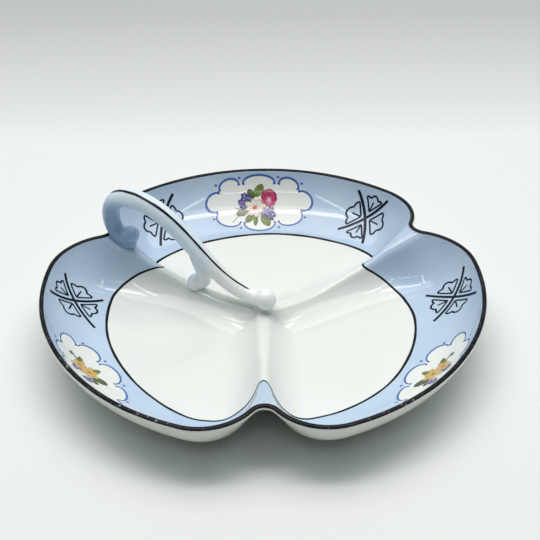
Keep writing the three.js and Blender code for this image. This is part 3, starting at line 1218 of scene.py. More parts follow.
@dataclass(frozen=True)
class InnerLine:
    """The thin black line between the floor and the band.

    It is thin over a crest, between two angles from it in degrees. Bolder stretches are an angle and a gain
    in width, and waves of its width are a share, a count round the dish and a phase.
    """

    form: DishForm
    width: float = 1.15
    thin: float = 0.85
    crest: Pair = (2.0, 16.0)
    bold: tuple[Pair, ...] = ((155.0, 0.3), (27.0, 0.2))
    bold_wide: float = 6.0
    waves: tuple[Triple, ...] = ((0.08, 11.0, 0.0), (0.06, 29.0, 1.0))
    thickness: float = 0.1
    steps: int = 648
    across: int = 5

    def build(self, finish: EnamelFinish) -> Piece:
        """Spin a flat lens and lay it on the shell, over the crests.

        Args:
            finish: Its enamel.

        Returns:
            The line.
        """
        piece, across, lift, theta = self.form.lens("inner_band", self.steps, self.across, self.thickness)
        low, high = np.radians(self.crest)
        climb = smoothstep(self.form.fold(theta), low, high)
        half = self.width / 2.0 * (self.thin + (1.0 - self.thin) * climb)
        half = half * (1.0 + sum(much * np.sin(count * theta + phase) for much, count, phase in self.waves))
        for turn, more in self.bold:
            half = half * (1.0 + more * hump(theta, turn, self.bold_wide))
        at = self.form.painted_line(theta) + half * across
        write_points(piece.data, self.form.over_glaze(at, theta, lift))
        self.form.close(piece)
        return place(piece, finish.build("black_enamel", False), ("inner_line",))


# Handle


@dataclass(frozen=True)
class SlipBed:
    """A flat bead of slip: its reach from a foot, its seat over the crest and half its sizes."""

    reach: float
    seat: float
    half: Triple


@dataclass(frozen=True)
class Handle:
    """The scrolled handle: strap, ball, spur, curl and the slip that joins them to the ridge.

    The pulls place the control points of the strap's and the spur's curves, as shares of the lengths
    beside them. The fades say where the blue starts and is full, and the black line's knots are shares
    of the strap and turns from its top in degrees.
    """

    form: DishForm
    angle: float = math.radians(150.0)
    ball: float = 4.6
    ball_shift: float = 1.2
    arch_rise: float = 27.0
    arch_setback: float = 15.7
    curl_overhang: float = 2.9
    curl_drop: float = 16.1
    curl_knob: float = 4.1
    knob_setback: float = 10.6
    knob_rise: float = 3.4
    radius: float = 4.2
    swell: float = 0.67
    ball_share: float = 0.76
    curl_share: float = 0.9
    spur_reach: float = 33.5
    spur_knob: float = 3.4
    spur_seat: float = 2.4
    spur_base: float = 3.5
    spur_neck: float = 2.4
    spur_heart: float = 3.1
    spur_root: float = 0.35
    ball_sink: float = 0.2
    rise_low_pull: Pair = (0.48, 0.15)
    rise_high_pull: Pair = (0.58, 0.5)
    arch_pull: Pair = (0.62, 0.1)
    fall_pull: float = 0.6
    curl_fall_pull: float = 0.9
    curl_knob_pull: Pair = (0.5, 1.3)
    spur_root_pull: Pair = (1.1, 0.6)
    spur_knob_pull: Pair = (3.0, 0.2)
    spur_bend: float = 0.7
    ball_bed: SlipBed = SlipBed(0.4, 0.1, (4.6, 2.5, 1.5))
    spur_bed: SlipBed = SlipBed(0.0, 0.2, (3.9, 3.7, 1.5))
    rim_bed: SlipBed = SlipBed(-7.4, 0.6, (5.8, 3.3, 3.2))
    fade: Pair = (24.0, 70.0)
    fade_lean: float = 0.6
    fade_share: float = 0.66
    curl_fade: Pair = (50.0, 64.0)
    curl_fade_height: Pair = (40.0, 52.0)
    slip: float = 0.8
    voxel: float = 0.3
    ease: int = 24
    ease_share: float = 0.5
    line_start: float = 0.072
    line_end: float = 0.76
    line_half: float = 0.4
    line_swell: float = 0.2
    line_swell_from: Pair = (0.2, 0.6)
    line_taper: Pair = (0.06, 0.25)
    line_waver: Pair = (0.08, 60.0)
    line_raise: float = 0.1
    line_knots: tuple[Pair, ...] = (
        (0.07, 9.0), (0.3, 15.0), (0.5, 23.0), (0.6, 27.0), (0.68, 22.0), (0.76, 6.0),
    )
    line_cells: tuple[int, int] = (160, 6)
    strap_cells: tuple[int, int] = (48, 100)
    spur_cells: tuple[int, int] = (32, 60)
    ball_cells: tuple[int, int] = (40, 24)
    span_samples: int = 400
    strap_samples: int = 1201

    @property
    def ball_at(self) -> Pair:
        """Middle of the ball, as reach along the ridge and height."""
        return -self.ball_shift, float(self.form.crest_height(0.0)) + self.slip + self.ball

    @property
    def spur_at(self) -> Pair:
        """Middle of the spur's knob."""
        return self.spur_reach, float(self.form.crest_height(self.spur_reach)) + self.spur_seat

    @property
    def knob_at(self) -> Pair:
        """Middle of the curl's knob."""
        return self.form.notch_rim - self.knob_setback, self.form.rim_height + self.knob_rise

    @lru_cache(maxsize=4)
    def strap_line(self) -> Array:
        """Middle line of the strap: a rise, an arch and a curl.

        Returns:
            Reach and height of its points, closely and evenly spaced.
        """
        high = self.form.rim_height + self.arch_rise
        edge = self.form.notch_rim + self.curl_overhang
        start = (self.ball_at[0], self.ball_at[1] - self.ball * self.ball_sink)
        top = (self.form.notch_rim - self.arch_setback, high - self.radius)
        out = (edge - self.radius * self.curl_share, high - self.curl_drop)
        knob = self.knob_at
        rise = [
            start,
            (top[0] * self.rise_low_pull[0], start[1] - self.radius * self.rise_low_pull[1]),
            (top[0] * self.rise_high_pull[0], top[1] - self.radius * self.rise_high_pull[1]),
            top,
        ]
        arch = [
            top,
            (top[0] + (out[0] - top[0]) * self.arch_pull[0], top[1] + self.radius * self.arch_pull[1]),
            (out[0], out[1] + (top[1] - out[1]) * self.fall_pull),
            out,
        ]
        curl_pull, knob_pull = self.curl_knob_pull
        curl = [
            out,
            (out[0], out[1] + (knob[1] - out[1]) * self.curl_fall_pull),
            (knob[0] + (out[0] - knob[0]) * curl_pull, knob[1] - self.curl_knob * knob_pull),
            knob,
        ]
        share = np.linspace(0.0, 1.0, self.span_samples)
        spans = [cubic(rise, share), cubic(arch, share)[1:], cubic(curl, share)[1:]]
        return resample(np.concatenate(spans), self.strap_samples)

    def on_strap(self, share: Array) -> tuple[Array, Array]:
        """Points and tangents along the strap.

        Args:
            share: Places along it, from 0 at the ball to 1 in the curl.

        Returns:
            Both as reach and height.
        """
        line = self.strap_line()
        along = np.linspace(0.0, 1.0, len(line))
        tangent = read_line(np.gradient(line, axis=0), along, share)
        return read_line(line, along, share), unit(tangent)

    def strap_radius(self, share: Array) -> Array:
        """Radius of the strap along its length.

        Args:
            share: Places along it, from 0 at the ball to 1 in the curl.

        Returns:
            Radii.
        """
        rise = np.sin(np.minimum(share / self.swell, 1.0) * math.pi / 2.0)
        fall = smoothstep(share, self.swell, (1.0 + self.swell) / 2.0)
        grown = self.ball_share + (1.0 - self.ball_share) * rise
        return self.radius * grown * (1.0 - (1.0 - self.curl_share) * fall)

    def world(self, reach: Array, across: Array, height: Array) -> Array:
        """Points of the handle's plane in the row frame.

        Args:
            reach: Distance from the axis along the ridge.
            across: Distance to the side of the plane.
            height: Height.

        Returns:
            Points in the row frame.
        """
        c, s = math.cos(self.angle), math.sin(self.angle)
        along, aside = reach * c - across * s, reach * s + across * c
        return np.stack([along, aside + self.form.axis_y, height], axis=-1)

    def wrap(self, piece: Piece, point: Array, tangent: Array, radius: Array, turn: Array) -> None:
        """Lay the vertices of a piece round a line in the handle's plane.

        Args:
            piece: The piece.
            point: Point of the line for each vertex.
            tangent: Way of the line there.
            radius: Distance of the vertex from the line.
            turn: Its turn round the line, from the top.
        """
        up, across = radius * np.cos(turn), radius * np.sin(turn)
        reach, height = point[:, 0] - tangent[:, 1] * up, point[:, 1] + tangent[:, 0] * up
        write_points(piece.data, self.world(reach, across, height))

    def tube(self, name: str, sides: int, cuts: int) -> tuple[Piece, Array, Array]:
        """Add a capped tube of many rings, to be bent.

        Args:
            name: Its name.
            sides: Vertices in a ring.
            cuts: Rings between its ends.

        Returns:
            The object, the share of each vertex along it and its turn round it.
        """
        deselect()
        bpy.ops.mesh.primitive_cylinder_add(vertices=sides, radius=1.0, depth=1.0, end_fill_type="NGON")
        piece = bpy.context.object
        piece.name = name
        heights = read_points(piece.data)[:, 2][edge_ends(piece.data)]
        edit_edges(piece, np.abs(heights[:, 0] - heights[:, 1]) > 0.5)
        bpy.ops.mesh.subdivide(number_cuts=cuts)
        bpy.ops.object.mode_set(mode="OBJECT")
        points = read_points(piece.data)
        return piece, points[:, 2] + 0.5, np.arctan2(points[:, 1], points[:, 0])

    def strap(self) -> Piece:
        """Bend a round tube along the strap's line.

        Returns:
            The strap.
        """
        piece, share, turn = self.tube("strap", *self.strap_cells)
        self.wrap(piece, *self.on_strap(share), self.strap_radius(share), turn)
        return piece

    def spur_line(self) -> list[Pair]:
        """Control points of the spur, from the strap down to its knob.

        Returns:
            Their reach and height.
        """
        root = self.on_strap(np.array([self.spur_root]))[0][0]
        knob = self.spur_at
        (root_reach, root_rise), (knob_reach, knob_drop) = self.spur_root_pull, self.spur_knob_pull
        return [
            (float(root[0]), float(root[1])),
            (knob[0] + (root[0] - knob[0]) * root_reach, knob[1] + (root[1] - knob[1]) * root_rise),
            (knob[0] - self.spur_knob * knob_reach, knob[1] - self.spur_knob * knob_drop),
            knob,
        ]

    def spur(self) -> Piece:
        """Bend a tapered tube from the strap down to the spur's knob.

        Returns:
            The spur.
        """
        piece, share, turn = self.tube("spur", *self.spur_cells)
        line, step = self.spur_line(), 0.01
        slope = cubic(line, np.minimum(share + step, 1.0)) - cubic(line, np.maximum(share - step, 0.0))
        radius = self.spur_base + (self.spur_neck - self.spur_base) * share
        self.wrap(piece, cubic(line, share), unit(slope), radius, turn)
        return piece

    def bulb(self, name: str, middle: Pair, half: Triple) -> Piece:
        """Add a ball or a flat bead in the handle's plane.

        Args:
            name: Its name.
            middle: Reach and height of its middle.
            half: Half its length, width and height.

        Returns:
            The object.
        """
        deselect()
        round_it, rings = self.ball_cells
        bpy.ops.mesh.primitive_uv_sphere_add(segments=round_it, ring_count=rings, radius=1.0)
        piece = bpy.context.object
        piece.name = name
        p = read_points(piece.data) * np.array(half)
        write_points(piece.data, self.world(middle[0] + p[:, 0], p[:, 1], middle[1] + p[:, 2]))
        return piece

    def blue_share(self, points: Array) -> Array:
        """How blue the handle is: white at the ball, thin on the strap and full in the curl, fullest low
        down, which is partly painted shade.

        Args:
            points: Points of the handle.

        Returns:
            Shares from 0 to 1.
        """
        side = points[:, 1] - self.form.axis_y
        reach = points[:, 0] * math.cos(self.angle) + side * math.sin(self.angle)
        # The curl's share fades out upwards: partly pooled glaze, partly painted shade low in the curl.
        curl = smoothstep(reach, *self.curl_fade) * (1.0 - smoothstep(points[:, 2], *self.curl_fade_height))
        strap = smoothstep(reach + self.fade_lean * points[:, 2], *self.fade)
        return strap * self.fade_share + curl * (1.0 - self.fade_share)

    def build(self, finish: PorcelainFinish) -> Piece:
        """Fuse the parts of the handle, ease their meetings and glaze it.

        Args:
            finish: Its glaze.

        Returns:
            The handle.
        """
        bend, knob = cubic(self.spur_line(), np.array([self.spur_bend]))[0], self.spur_at
        heart = (float(bend[0] + knob[0]) / 2.0, float(bend[1] + knob[1]) / 2.0)
        parts = [self.strap(), self.spur()]
        for name, middle, radius in (
            ("ball", self.ball_at, self.ball),
            ("spur_knob", self.spur_at, self.spur_knob),
            ("spur_heart", heart, self.spur_heart),
            ("curl_knob", self.knob_at, self.curl_knob),
        ):
            parts.append(self.bulb(name, middle, (radius, radius, radius)))
        for name, foot, bed in (
            ("ball_bed", 0.0, self.ball_bed),
            ("spur_bed", self.spur_reach, self.spur_bed),
            ("rim_bed", self.form.notch_rim, self.rim_bed),
        ):
            reach = foot + bed.reach
            height = float(self.form.crest_height(reach)) + bed.seat
            parts.append(self.bulb(name, (reach, height), bed.half))
        piece = join(parts, "scroll_handle")
        apply_modifier(piece, "REMESH", mode="VOXEL", voxel_size=self.voxel * MM)
        apply_modifier(piece, "SMOOTH", factor=self.ease_share, iterations=self.ease)
        write_attribute(piece.data, "band", self.blue_share(read_points(piece.data) / MM))
        stands_for = ("handle", "ball_slip_joint", "spur_slip_joint", "rim_slip_joint")
        return place(piece, finish.faded("faded_porcelain"), stands_for)

    def build_line(self, finish: EnamelFinish, strap: Piece) -> Piece:
        """Lay the black line along the strap, a little to the front of its top.

        Args:
            finish: Its enamel.
            strap: The finished handle.

        Returns:
            The line.
        """
        deselect()
        along, across = self.line_cells
        bpy.ops.mesh.primitive_grid_add(x_subdivisions=along, y_subdivisions=across, size=2.0)
        piece = bpy.context.object
        piece.name, piece.data.name = "handle_band", "handle_band"
        p = read_points(piece.data)
        share = self.line_start + (self.line_end - self.line_start) * (p[:, 0] + 1.0) / 2.0
        taper_end, blunt = self.line_taper
        taper = np.minimum(smoothstep(1.0 - np.abs(p[:, 0]), 0.0, taper_end) + blunt, 1.0)
        half = self.line_half + self.line_swell * smoothstep(share, *self.line_swell_from)
        much, count = self.line_waver
        brush = p[:, 1] * half * taper * (1.0 + much * np.sin(share * count))
        radius = self.strap_radius(share)
        turn = np.radians(np.interp(share, *np.array(self.line_knots).T)) + brush / radius
        self.wrap(piece, *self.on_strap(share), radius, turn)
        apply_modifier(
            piece,
            "SHRINKWRAP",
            target=strap,
            wrap_method="NEAREST_SURFACEPOINT",
            wrap_mode="ABOVE_SURFACE",
            offset=self.line_raise * MM,
        )
        return place(piece, finish.build("handle_black_enamel", False), ("handle_line",))


# Painted ornament


class Palette(Enum):
    """Linear colours of the painted ornament."""

    OUTLINE = (0.065, 0.16, 0.47)
    OUTLINE_PALE = (0.15, 0.27, 0.58)
    CRIMSON = (0.36, 0.012, 0.075)
    ROSE = (0.62, 0.07, 0.2)
    PINK = (0.8, 0.33, 0.44)
    BLUSH = (0.86, 0.66, 0.66)
    PETAL = (0.86, 0.82, 0.7)
    SHADOW = (0.52, 0.42, 0.3)
    HEART = (0.6, 0.07, 0.035)
    VIOLET = (0.1, 0.075, 0.26)
    LILAC = (0.3, 0.27, 0.55)
    LEAF = (0.14, 0.21, 0.04)
    LEAF_DARK = (0.045, 0.085, 0.02)
    LEAF_PALE = (0.32, 0.39, 0.12)
    ORANGE = (0.6, 0.14, 0.01)
    UMBER = (0.2, 0.085, 0.015)
    OCHRE = (0.62, 0.32, 0.05)
    YELLOW = (0.88, 0.63, 0.2)
    BLACK = (0.013, 0.017, 0.03)


Tint = tuple[Palette, Palette]


class Painter:
    """Lays brush marks on the wall of one lobe, in a flat frame of its own.

    The frame has u to the right and v up towards the rim, as seen from the middle of the dish. A tint is
    the colour at a mark's edge and the colour in its middle. Each mark lies a step over the one before,
    and a crown is how far its middle is raised. A cell is the length of a stroke's grid cells.
    """

    coat: float = 0.03
    layer_step: float = 0.0012
    stroke_crown: float = 0.03
    blot_crown: float = 0.02
    cell: float = 0.45
    cells_across: int = 4
    least_cells: int = 12
    samples: int = 201
    longest_end: float = 0.45
    stroke_rim: float = 2.0

    def __init__(self, form: DishForm, theta: float, at: float) -> None:
        """Set the middle of the frame.

        Args:
            form: The dish.
            theta: Angle of the middle.
            at: Lobe radius of the middle.
        """
        self.form = form
        self.theta = theta
        x, _, arc = form.wall_table()
        self.middle = float(np.interp(at, x, arc))
        self.marks: list[Piece] = []
        self.layer = 0
        self.shift = (0.0, 0.0)

    def grid(self, across: int, along: int) -> tuple[Piece, Array]:
        """Add a square grid for one mark.

        Args:
            across: Its cells across the mark.
            along: Its cells along the mark.

        Returns:
            The grid, and its flat points from -1 to 1.
        """
        deselect()
        bpy.ops.mesh.primitive_grid_add(x_subdivisions=along, y_subdivisions=across, size=2.0)
        piece = bpy.context.object
        self.marks.append(piece)
        self.layer += 1
        return piece, read_points(piece.data)[:, :2]

    def lay(self, piece: Piece, uv: Array, far: Array, crown: float, tint: Tint, rim: float) -> None:
        """Put the grid of a mark on the wall and colour it.

        Args:
            piece: The grid.
            uv: Places of its vertices in the frame.
            far: How far they are from the mark's middle, from 0 to 1.
            crown: How far the middle is raised.
            tint: Colours of the mark.
            rim: How closely the edge colour keeps to the edge.
        """
        x, _, arc = self.form.wall_table()
        at = np.interp(self.middle + uv[:, 1] + self.shift[1], arc, x)
        theta = self.theta - (uv[:, 0] + self.shift[0]) / at
        lift = self.coat + self.layer_step * self.layer + crown * (1.0 - far**2)
        write_points(piece.data, self.form.over_glaze(at, theta, lift))
        edge, middle = (np.array(colour.value) for colour in tint)
        mix = (far**rim)[:, None]
        write_paint(piece.data, middle * (1.0 - mix) + edge * mix)

    def stroke(
        self, points: Array, half: float, tint: Tint, swell: float = 0.0, blunt: float = 0.5
    ) -> None:
        """Lay a stroke of the brush.

        Args:
            points: Its middle line.
            half: Half its width.
            tint: Its colours.
            swell: How much wider it is in the middle of its length.
            blunt: Share of the width that is left at its ends.
        """
        points = np.asarray(points, float)
        cells = max(self.least_cells, int(line_length(points)[0] / self.cell))
        piece, p = self.grid(self.cells_across, cells)
        line = resample(points, self.samples)
        along = np.linspace(-1.0, 1.0, len(line))
        cut = min(self.longest_end, half / max(line_length(line)[0], 1e-6) * 2.0)
        end = blunt + (1.0 - blunt) * np.sqrt(np.clip((1.0 - np.abs(p[:, 0])) / cut, 0.0, 1.0))
        width = half * end * (1.0 + swell * np.cos(p[:, 0] * math.pi / 2.0))
        way = read_line(unit(np.gradient(line, axis=0)), along, p[:, 0])
        aside = np.stack([-way[:, 1], way[:, 0]], axis=1) * (p[:, 1] * width)[:, None]
        uv = read_line(line, along, p[:, 0]) + aside
        self.lay(piece, uv, np.abs(p[:, 1]), self.stroke_crown, tint, self.stroke_rim)

    def blot(
        self, outline: Array, tint: Tint, rim: float = 2.0, size: int = 10, middle: Array | None = None
    ) -> None:
        """Lay a filled shape.

        Args:
            outline: Points round it, evenly spaced and not repeated at the end.
            tint: Its colours.
            rim: How closely the edge colour keeps to the edge.
            size: Grid cells along a quarter of the outline.
            middle: The point that it shrinks towards, if not its mean.
        """
        piece, p = self.grid(size, size)
        far = np.abs(p).max(axis=1)
        turn = np.arctan2(p[:, 1], p[:, 0])
        square = np.abs(np.cos(turn)) >= np.abs(np.sin(turn))
        ratio = np.where(square, p[:, 1], p[:, 0]) / np.maximum(far, 1e-9)
        quarter = np.where(square, np.where(p[:, 0] >= 0, 0, 2), np.where(p[:, 1] >= 0, 1, 3))
        signed = np.where((quarter == 1) | (quarter == 2), -ratio, ratio)
        share = ((quarter + signed / 2.0) / 4.0) % 1.0
        closed = np.concatenate([outline, outline[:1]])
        edge = read_line(closed, np.linspace(0.0, 1.0, len(closed)), share)
        heart = outline.mean(axis=0) if middle is None else np.asarray(middle, float)
        self.lay(piece, heart + (edge - heart) * far[:, None], far, self.blot_crown, tint, rim)

    def done(self, name: str) -> Piece:
        """Join the marks laid so far into one piece and turn it face up.

        Args:
            name: Name of the piece.

        Returns:
            The piece.
        """
        piece = join(self.marks, name)
        self.marks = []
        middle = piece.data.polygons[len(piece.data.polygons) // 2]
        if middle.normal.z < 0.0:
            edit_all(piece)
            bpy.ops.mesh.flip_normals()
            bpy.ops.object.mode_set(mode="OBJECT")
        return piece


def turned(points: Array | list[Pair], turn: float, start: Pair) -> Array:
    """Turn points by degrees about their own origin, and move that to a start."""
    c, s = math.cos(math.radians(turn)), math.sin(math.radians(turn))
    return np.asarray(points, float) @ np.array([[c, s], [-s, c]]) + np.asarray(start)


def oval(middle: Pair, half: Pair, turn: float = 0.0) -> Array:
    """Points round an ellipse that is turned by degrees."""
    t = np.linspace(0.0, FULL_TURN, OVAL_POINTS, endpoint=False)
    return turned(np.stack([half[0] * np.cos(t), half[1] * np.sin(t)], axis=1), turn, middle)


def blade(root: Pair, length: float, half: float, turn: float, point: float) -> Array:
    """Points round a petal or leaf that grows from a root.

    Args:
        root: Where it starts.
        length: Its length.
        half: Half its width.
        turn: The way it grows, in degrees.
        point: Over 1 for a pointed tip, under 1 for a round one.

    Returns:
        The points.
    """
    t = np.linspace(0.0, FULL_TURN, BLADE_POINTS, endpoint=False)
    across = half * np.sign(np.sin(t)) * np.abs(np.sin(t)) ** point
    return turned(np.stack([(1.0 - np.cos(t)) / 2.0 * length, across], axis=1), turn, root)


@dataclass(frozen=True)
class Arc:
    """One arc of a scalloped frame, between two of its inner corners."""

    start: Pair
    end: Pair
    bulge: float
    drawn_in: float = 1.0
    samples: int = 60

    def axes(self) -> tuple[Array, Array, Array]:
        """Middle of the arc's ellipse and its two half axes, along and outwards.

        Returns:
            Three vectors.
        """
        a, b = np.asarray(self.start), np.asarray(self.end)
        along = (b - a) / 2.0
        return (a + b) / 2.0, along, unit(np.array([-along[1], along[0]])) * self.bulge

    def points(self, wrap: float) -> Array:
        """Points along the arc.

        Args:
            wrap: How far its ends curl in, in degrees.

        Returns:
            The points, from start to end.
        """
        middle, along, out = self.axes()
        t = np.linspace(math.pi + math.radians(wrap), -math.radians(wrap), self.samples)[:, None]
        inset = 1.0 - self.drawn_in / np.linalg.norm(along)
        return middle + along * inset * np.cos(t) + out * np.sin(t)

    def covers(self, u: Array, v: Array) -> Array:
        """Whether places are inside the arc's whole ellipse.

        Args:
            u: Places to the right.
            v: Places up the wall.

        Returns:
            True where they are inside.
        """
        middle, along, out = self.axes()
        u, v = u - middle[0], v - middle[1]
        x = (u * along[0] + v * along[1]) / (along @ along)
        y = (u * out[0] + v * out[1]) / (out @ out)
        return x * x + y * y <= 1.0


class Posy(Enum):
    """The two kinds of bouquet."""

    ROSE = 1
    YELLOW = 2


@dataclass(frozen=True)
class Medallion:
    """A white reserve in a scalloped blue frame, with a bouquet.

    Its corners are the inner ones of the right half, from the top down. The near bulge is that of the low
    arc towards the front notch. Bold and fine are half widths of an arc and of the hooks at its ends.
    """

    form: DishForm
    name: str
    turn: float
    posy: Posy
    mirror: float = 1.0
    at: float = 80.5
    end_bulge: float = 5.0
    near_bulge: float = 3.9
    upper: float = 1.0
    shift: Pair = (0.0, 0.0)
    corners: tuple[Pair, ...] = ((8.5, 11.3), (19.8, 9.0), (20.9, -2.4), (8.2, -9.5))
    peak: float = 3.5
    low_bulge: float = 3.9
    base_bulge: float = 4.6
    bold: Pair = (0.55, 0.72)
    fine: Pair = (0.42, 0.55)
    dot: Pair = (0.68, 0.6)
    dot_away: Pair = (0.7, 2.5)
    bold_from: float = 3.0
    wrap: float = 12.0
    hook: Pair = (0.35, 0.2)
    rays: int = 160
    ray_length: float = 32.0
    ray_samples: int = 640

    def arcs(self) -> list[Arc]:
        """The eight arcs of the frame.

        Returns:
            The arcs, clockwise from the upper left.
        """
        right = [(u, v * self.upper if v > 0.0 else v) for u, v in self.corners]
        left = [(-u, v) for u, v in reversed(right)]
        corners = [left[2], left[3], *right, left[0], left[1]]
        near, far = self.near_bulge, self.low_bulge
        low_right, low_left = (far, near) if self.mirror > 0.0 else (near, far)
        lower = [self.end_bulge, low_right, self.base_bulge, low_left, self.end_bulge]
        bulges = [self.peak * self.upper] * 3 + lower
        return [Arc(*row) for row in zip(corners, corners[1:] + corners[:1], bulges)]

    def reserve(self) -> Array:
        """Outline of the white ground, inside the frame.

        Returns:
            Points round it.
        """
        angles = np.linspace(0.0, FULL_TURN, self.rays, endpoint=False)
        reach = np.linspace(0.0, self.ray_length, self.ray_samples)
        ways = np.stack([np.cos(angles), np.sin(angles)], axis=1)
        u, v = ways[:, :1] * reach, ways[:, 1:] * reach
        core, bulges = np.ones_like(u, bool), np.zeros_like(u, bool)
        for arc in self.arcs():
            a, b = arc.start, arc.end
            core &= (b[0] - a[0]) * (v - a[1]) - (b[1] - a[1]) * (u - a[0]) <= 0.0
            bulges |= arc.covers(u, v)
        return ways * np.where(core | bulges, reach, 0.0).max(axis=1)[:, None]

    def frame(self, painter: Painter) -> None:
        """Paint the arcs, the hooks at their ends and the dots between them.

        Args:
            painter: Where to paint.
        """
        pale, deep = Palette.OUTLINE_PALE, Palette.OUTLINE
        curl, back = self.hook
        for arc in self.arcs():
            line = arc.points(self.wrap)
            high = (arc.start[1] + arc.end[1]) / 2.0 > self.bold_from
            arc_half, hook_half = self.bold if high else self.fine
            painter.stroke(line, arc_half, (pale, deep), 0.05, 0.9)
            for tip, near, inner in ((line[0], line[3], line[9]), (line[-1], line[-4], line[-10])):
                hook = np.array([near, tip, tip + (inner - near) * curl - (near - tip) * back])
                painter.stroke(hook, hook_half, (deep, deep), 0.0, 0.95)
            away = np.sign(arc.start) * np.array(self.dot_away)
            painter.blot(oval(tuple(np.asarray(arc.start) + away), self.dot), (pale, deep), 3.0, 6)

    def leaf(
        self, painter: Painter, root: Pair, length: float, half: float, turn: float, dark: bool
    ) -> None:
        """Paint a leaf with its veins.

        Args:
            painter: Where to paint.
            root: Where the leaf starts.
            length: Its length.
            half: Half its width.
            turn: The way it grows, in degrees.
            dark: Whether it lies in the shade of the bouquet.
        """
        vein = (Palette.LEAF_DARK, Palette.LEAF_DARK)
        tint = (Palette.LEAF_DARK, Palette.LEAF) if dark else (Palette.LEAF, Palette.LEAF_PALE)
        painter.blot(blade(root, length, half, turn, 1.2), tint, 1.5)
        midrib = [(0.0, 0.0), (length * 0.5, 0.25), (length * 0.95, 0.0)]
        painter.stroke(turned(midrib, turn, root), 0.2, vein, 0.4, 0.3)
        for share in (0.35, 0.6):
            for side in (-1.0, 1.0):
                rib = [(length * share, 0.0), (length * (share + 0.16), side * half * 0.6)]
                painter.stroke(turned(rib, turn, root), 0.13, vein, 0.0, 0.3)

    def daisy(self, painter: Painter, middle: Pair, petals: int, length: float) -> None:
        """Paint an open flower with a round heart.

        Args:
            painter: Where to paint.
            middle: Middle of the flower.
            petals: Number of its petals.
            length: Their mean length.
        """
        petal, heart = Palette.PETAL, Palette.HEART
        for k in range(petals):
            turn = 360.0 * k / petals + 12.0 + 9.0 * math.sin(3.1 * k)
            reach = length * (1.0 + 0.12 * math.sin(2.3 * k + 1.0))
            painter.blot(blade(middle, reach, reach * 0.27, turn, 0.8), (Palette.SHADOW, petal), 6.0, 8)
            crease = turned([(0.6, 0.0), (reach * 0.5, 0.0)], turn, middle)
            blush = blade(tuple(crease[0]), reach * 0.62, reach * 0.16, turn, 0.8)
            painter.blot(blush, (petal, Palette.BLUSH), 1.2, 6)
            painter.stroke(crease, 0.16, (Palette.ROSE, Palette.ROSE), 0.2, 0.2)
        painter.blot(oval(middle, (1.1, 1.05)), (heart, heart), 1.2, 8)
        painter.blot(oval(middle, (0.5, 0.45)), (heart, Palette.ORANGE), 1.2, 6)

    def violets(self, painter: Painter, middle: Pair, count: int, spread: float) -> None:
        """Paint a cluster of small violets.

        Args:
            painter: Where to paint.
            middle: Middle of the cluster.
            count: Number of violets.
            spread: Radius of the cluster.
        """
        for k in range(count):
            turn, far = 2.4 * k, spread * math.sqrt((k + 0.4) / count)
            at = (middle[0] + far * math.cos(turn), middle[1] + far * math.sin(turn))
            for petal in range(5):
                tint = (Palette.VIOLET, Palette.LILAC if petal % 2 else Palette.VIOLET)
                painter.blot(blade(at, 1.75, 0.72, 72.0 * petal + 37.0 * k, 0.75), tint, 1.5, 6)
            painter.blot(oval(at, (0.3, 0.3)), (Palette.BLUSH, Palette.PETAL), 2.0, 4)

    def rose(self, painter: Painter, middle: Pair, size: float) -> None:
        """Paint a cupped rose: dark back petals, a pink bowl and turned edges.

        Args:
            painter: Where to paint.
            middle: Middle of the rose.
            size: Its radius.
        """
        crimson, rose, pink, blush = Palette.CRIMSON, Palette.ROSE, Palette.PINK, Palette.BLUSH
        backs = ((165.0, 0.8), (120.0, 1.0), (78.0, 1.06), (35.0, 1.0), (-8.0, 0.9), (-45.0, 0.8))
        for turn, reach in (*backs, (205.0, 0.72)):
            at = tuple(turned([(size * 0.5 * reach, 0.0)], turn, middle)[0])
            painter.blot(oval(at, (size * 0.5, size * 0.46), turn + 90.0), (crimson, rose), 0.9)
        for u, v, long, wide, turn, tint, rim in (
            (-0.02, -0.36, 0.78, 0.66, -8.0, (rose, pink), 2.6),
            (-0.1, 0.28, 0.5, 0.24, 8.0, (crimson, crimson), 1.2),
            (0.02, -0.32, 0.4, 0.46, -6.0, (pink, blush), 1.2),
        ):
            at = (middle[0] + size * u, middle[1] + size * v)
            painter.blot(oval(at, (size * long, size * wide), turn), tint, rim)
        for edge in (
            [(-0.62, 0.3), (-0.5, -0.3), (-0.2, -0.85)],
            [(0.62, 0.4), (0.52, -0.2), (0.25, -0.8)],
            [(-0.5, 0.42), (0.0, 0.12), (0.5, 0.5)],
        ):
            painter.stroke(np.array(middle) + size * np.array(edge), 0.3, (crimson, rose), 0.5, 0.2)

    def rose_posy(self, painter: Painter) -> None:
        """Paint the bouquet with the rose.

        Args:
            painter: Where to paint.
        """
        green, pale = Palette.LEAF, Palette.LEAF_PALE
        for stem, half, tint in (
            ([(-7.0, -2.2), (-9.0, -1.6), (-11.4, -0.4)], 0.16, (green, green)),
            ([(-8.0, -4.4), (-10.6, -5.6), (-12.8, -8.4)], 0.2, (pale, pale)),
        ):
            painter.stroke(np.array(stem), half, tint, 0.2, 0.2)
        for root, length, half, turn, dark in (
            ((-2.6, 3.6), 5.2, 1.7, 118.0, True),
            ((-1.8, 4.4), 6.9, 2.1, 60.0, False),
            ((-5.0, -2.4), 6.2, 2.0, 194.0, True),
            ((-3.0, -4.4), 5.6, 1.8, 234.0, False),
            ((-1.6, -5.0), 6.2, 1.1, 266.0, False),
            ((1.2, -5.0), 7.2, 2.1, 297.0, False),
            ((2.6, -5.4), 4.6, 1.3, 330.0, True),
        ):
            self.leaf(painter, root, length, half, turn, dark)
        self.violets(painter, (-6.3, 2.5), 8, 3.0)
        self.violets(painter, (4.2, -3.6), 6, 2.5)
        self.rose(painter, (4.6, 3.9), 4.3)
        self.daisy(painter, (-2.0, -1.1), 8, 4.9)

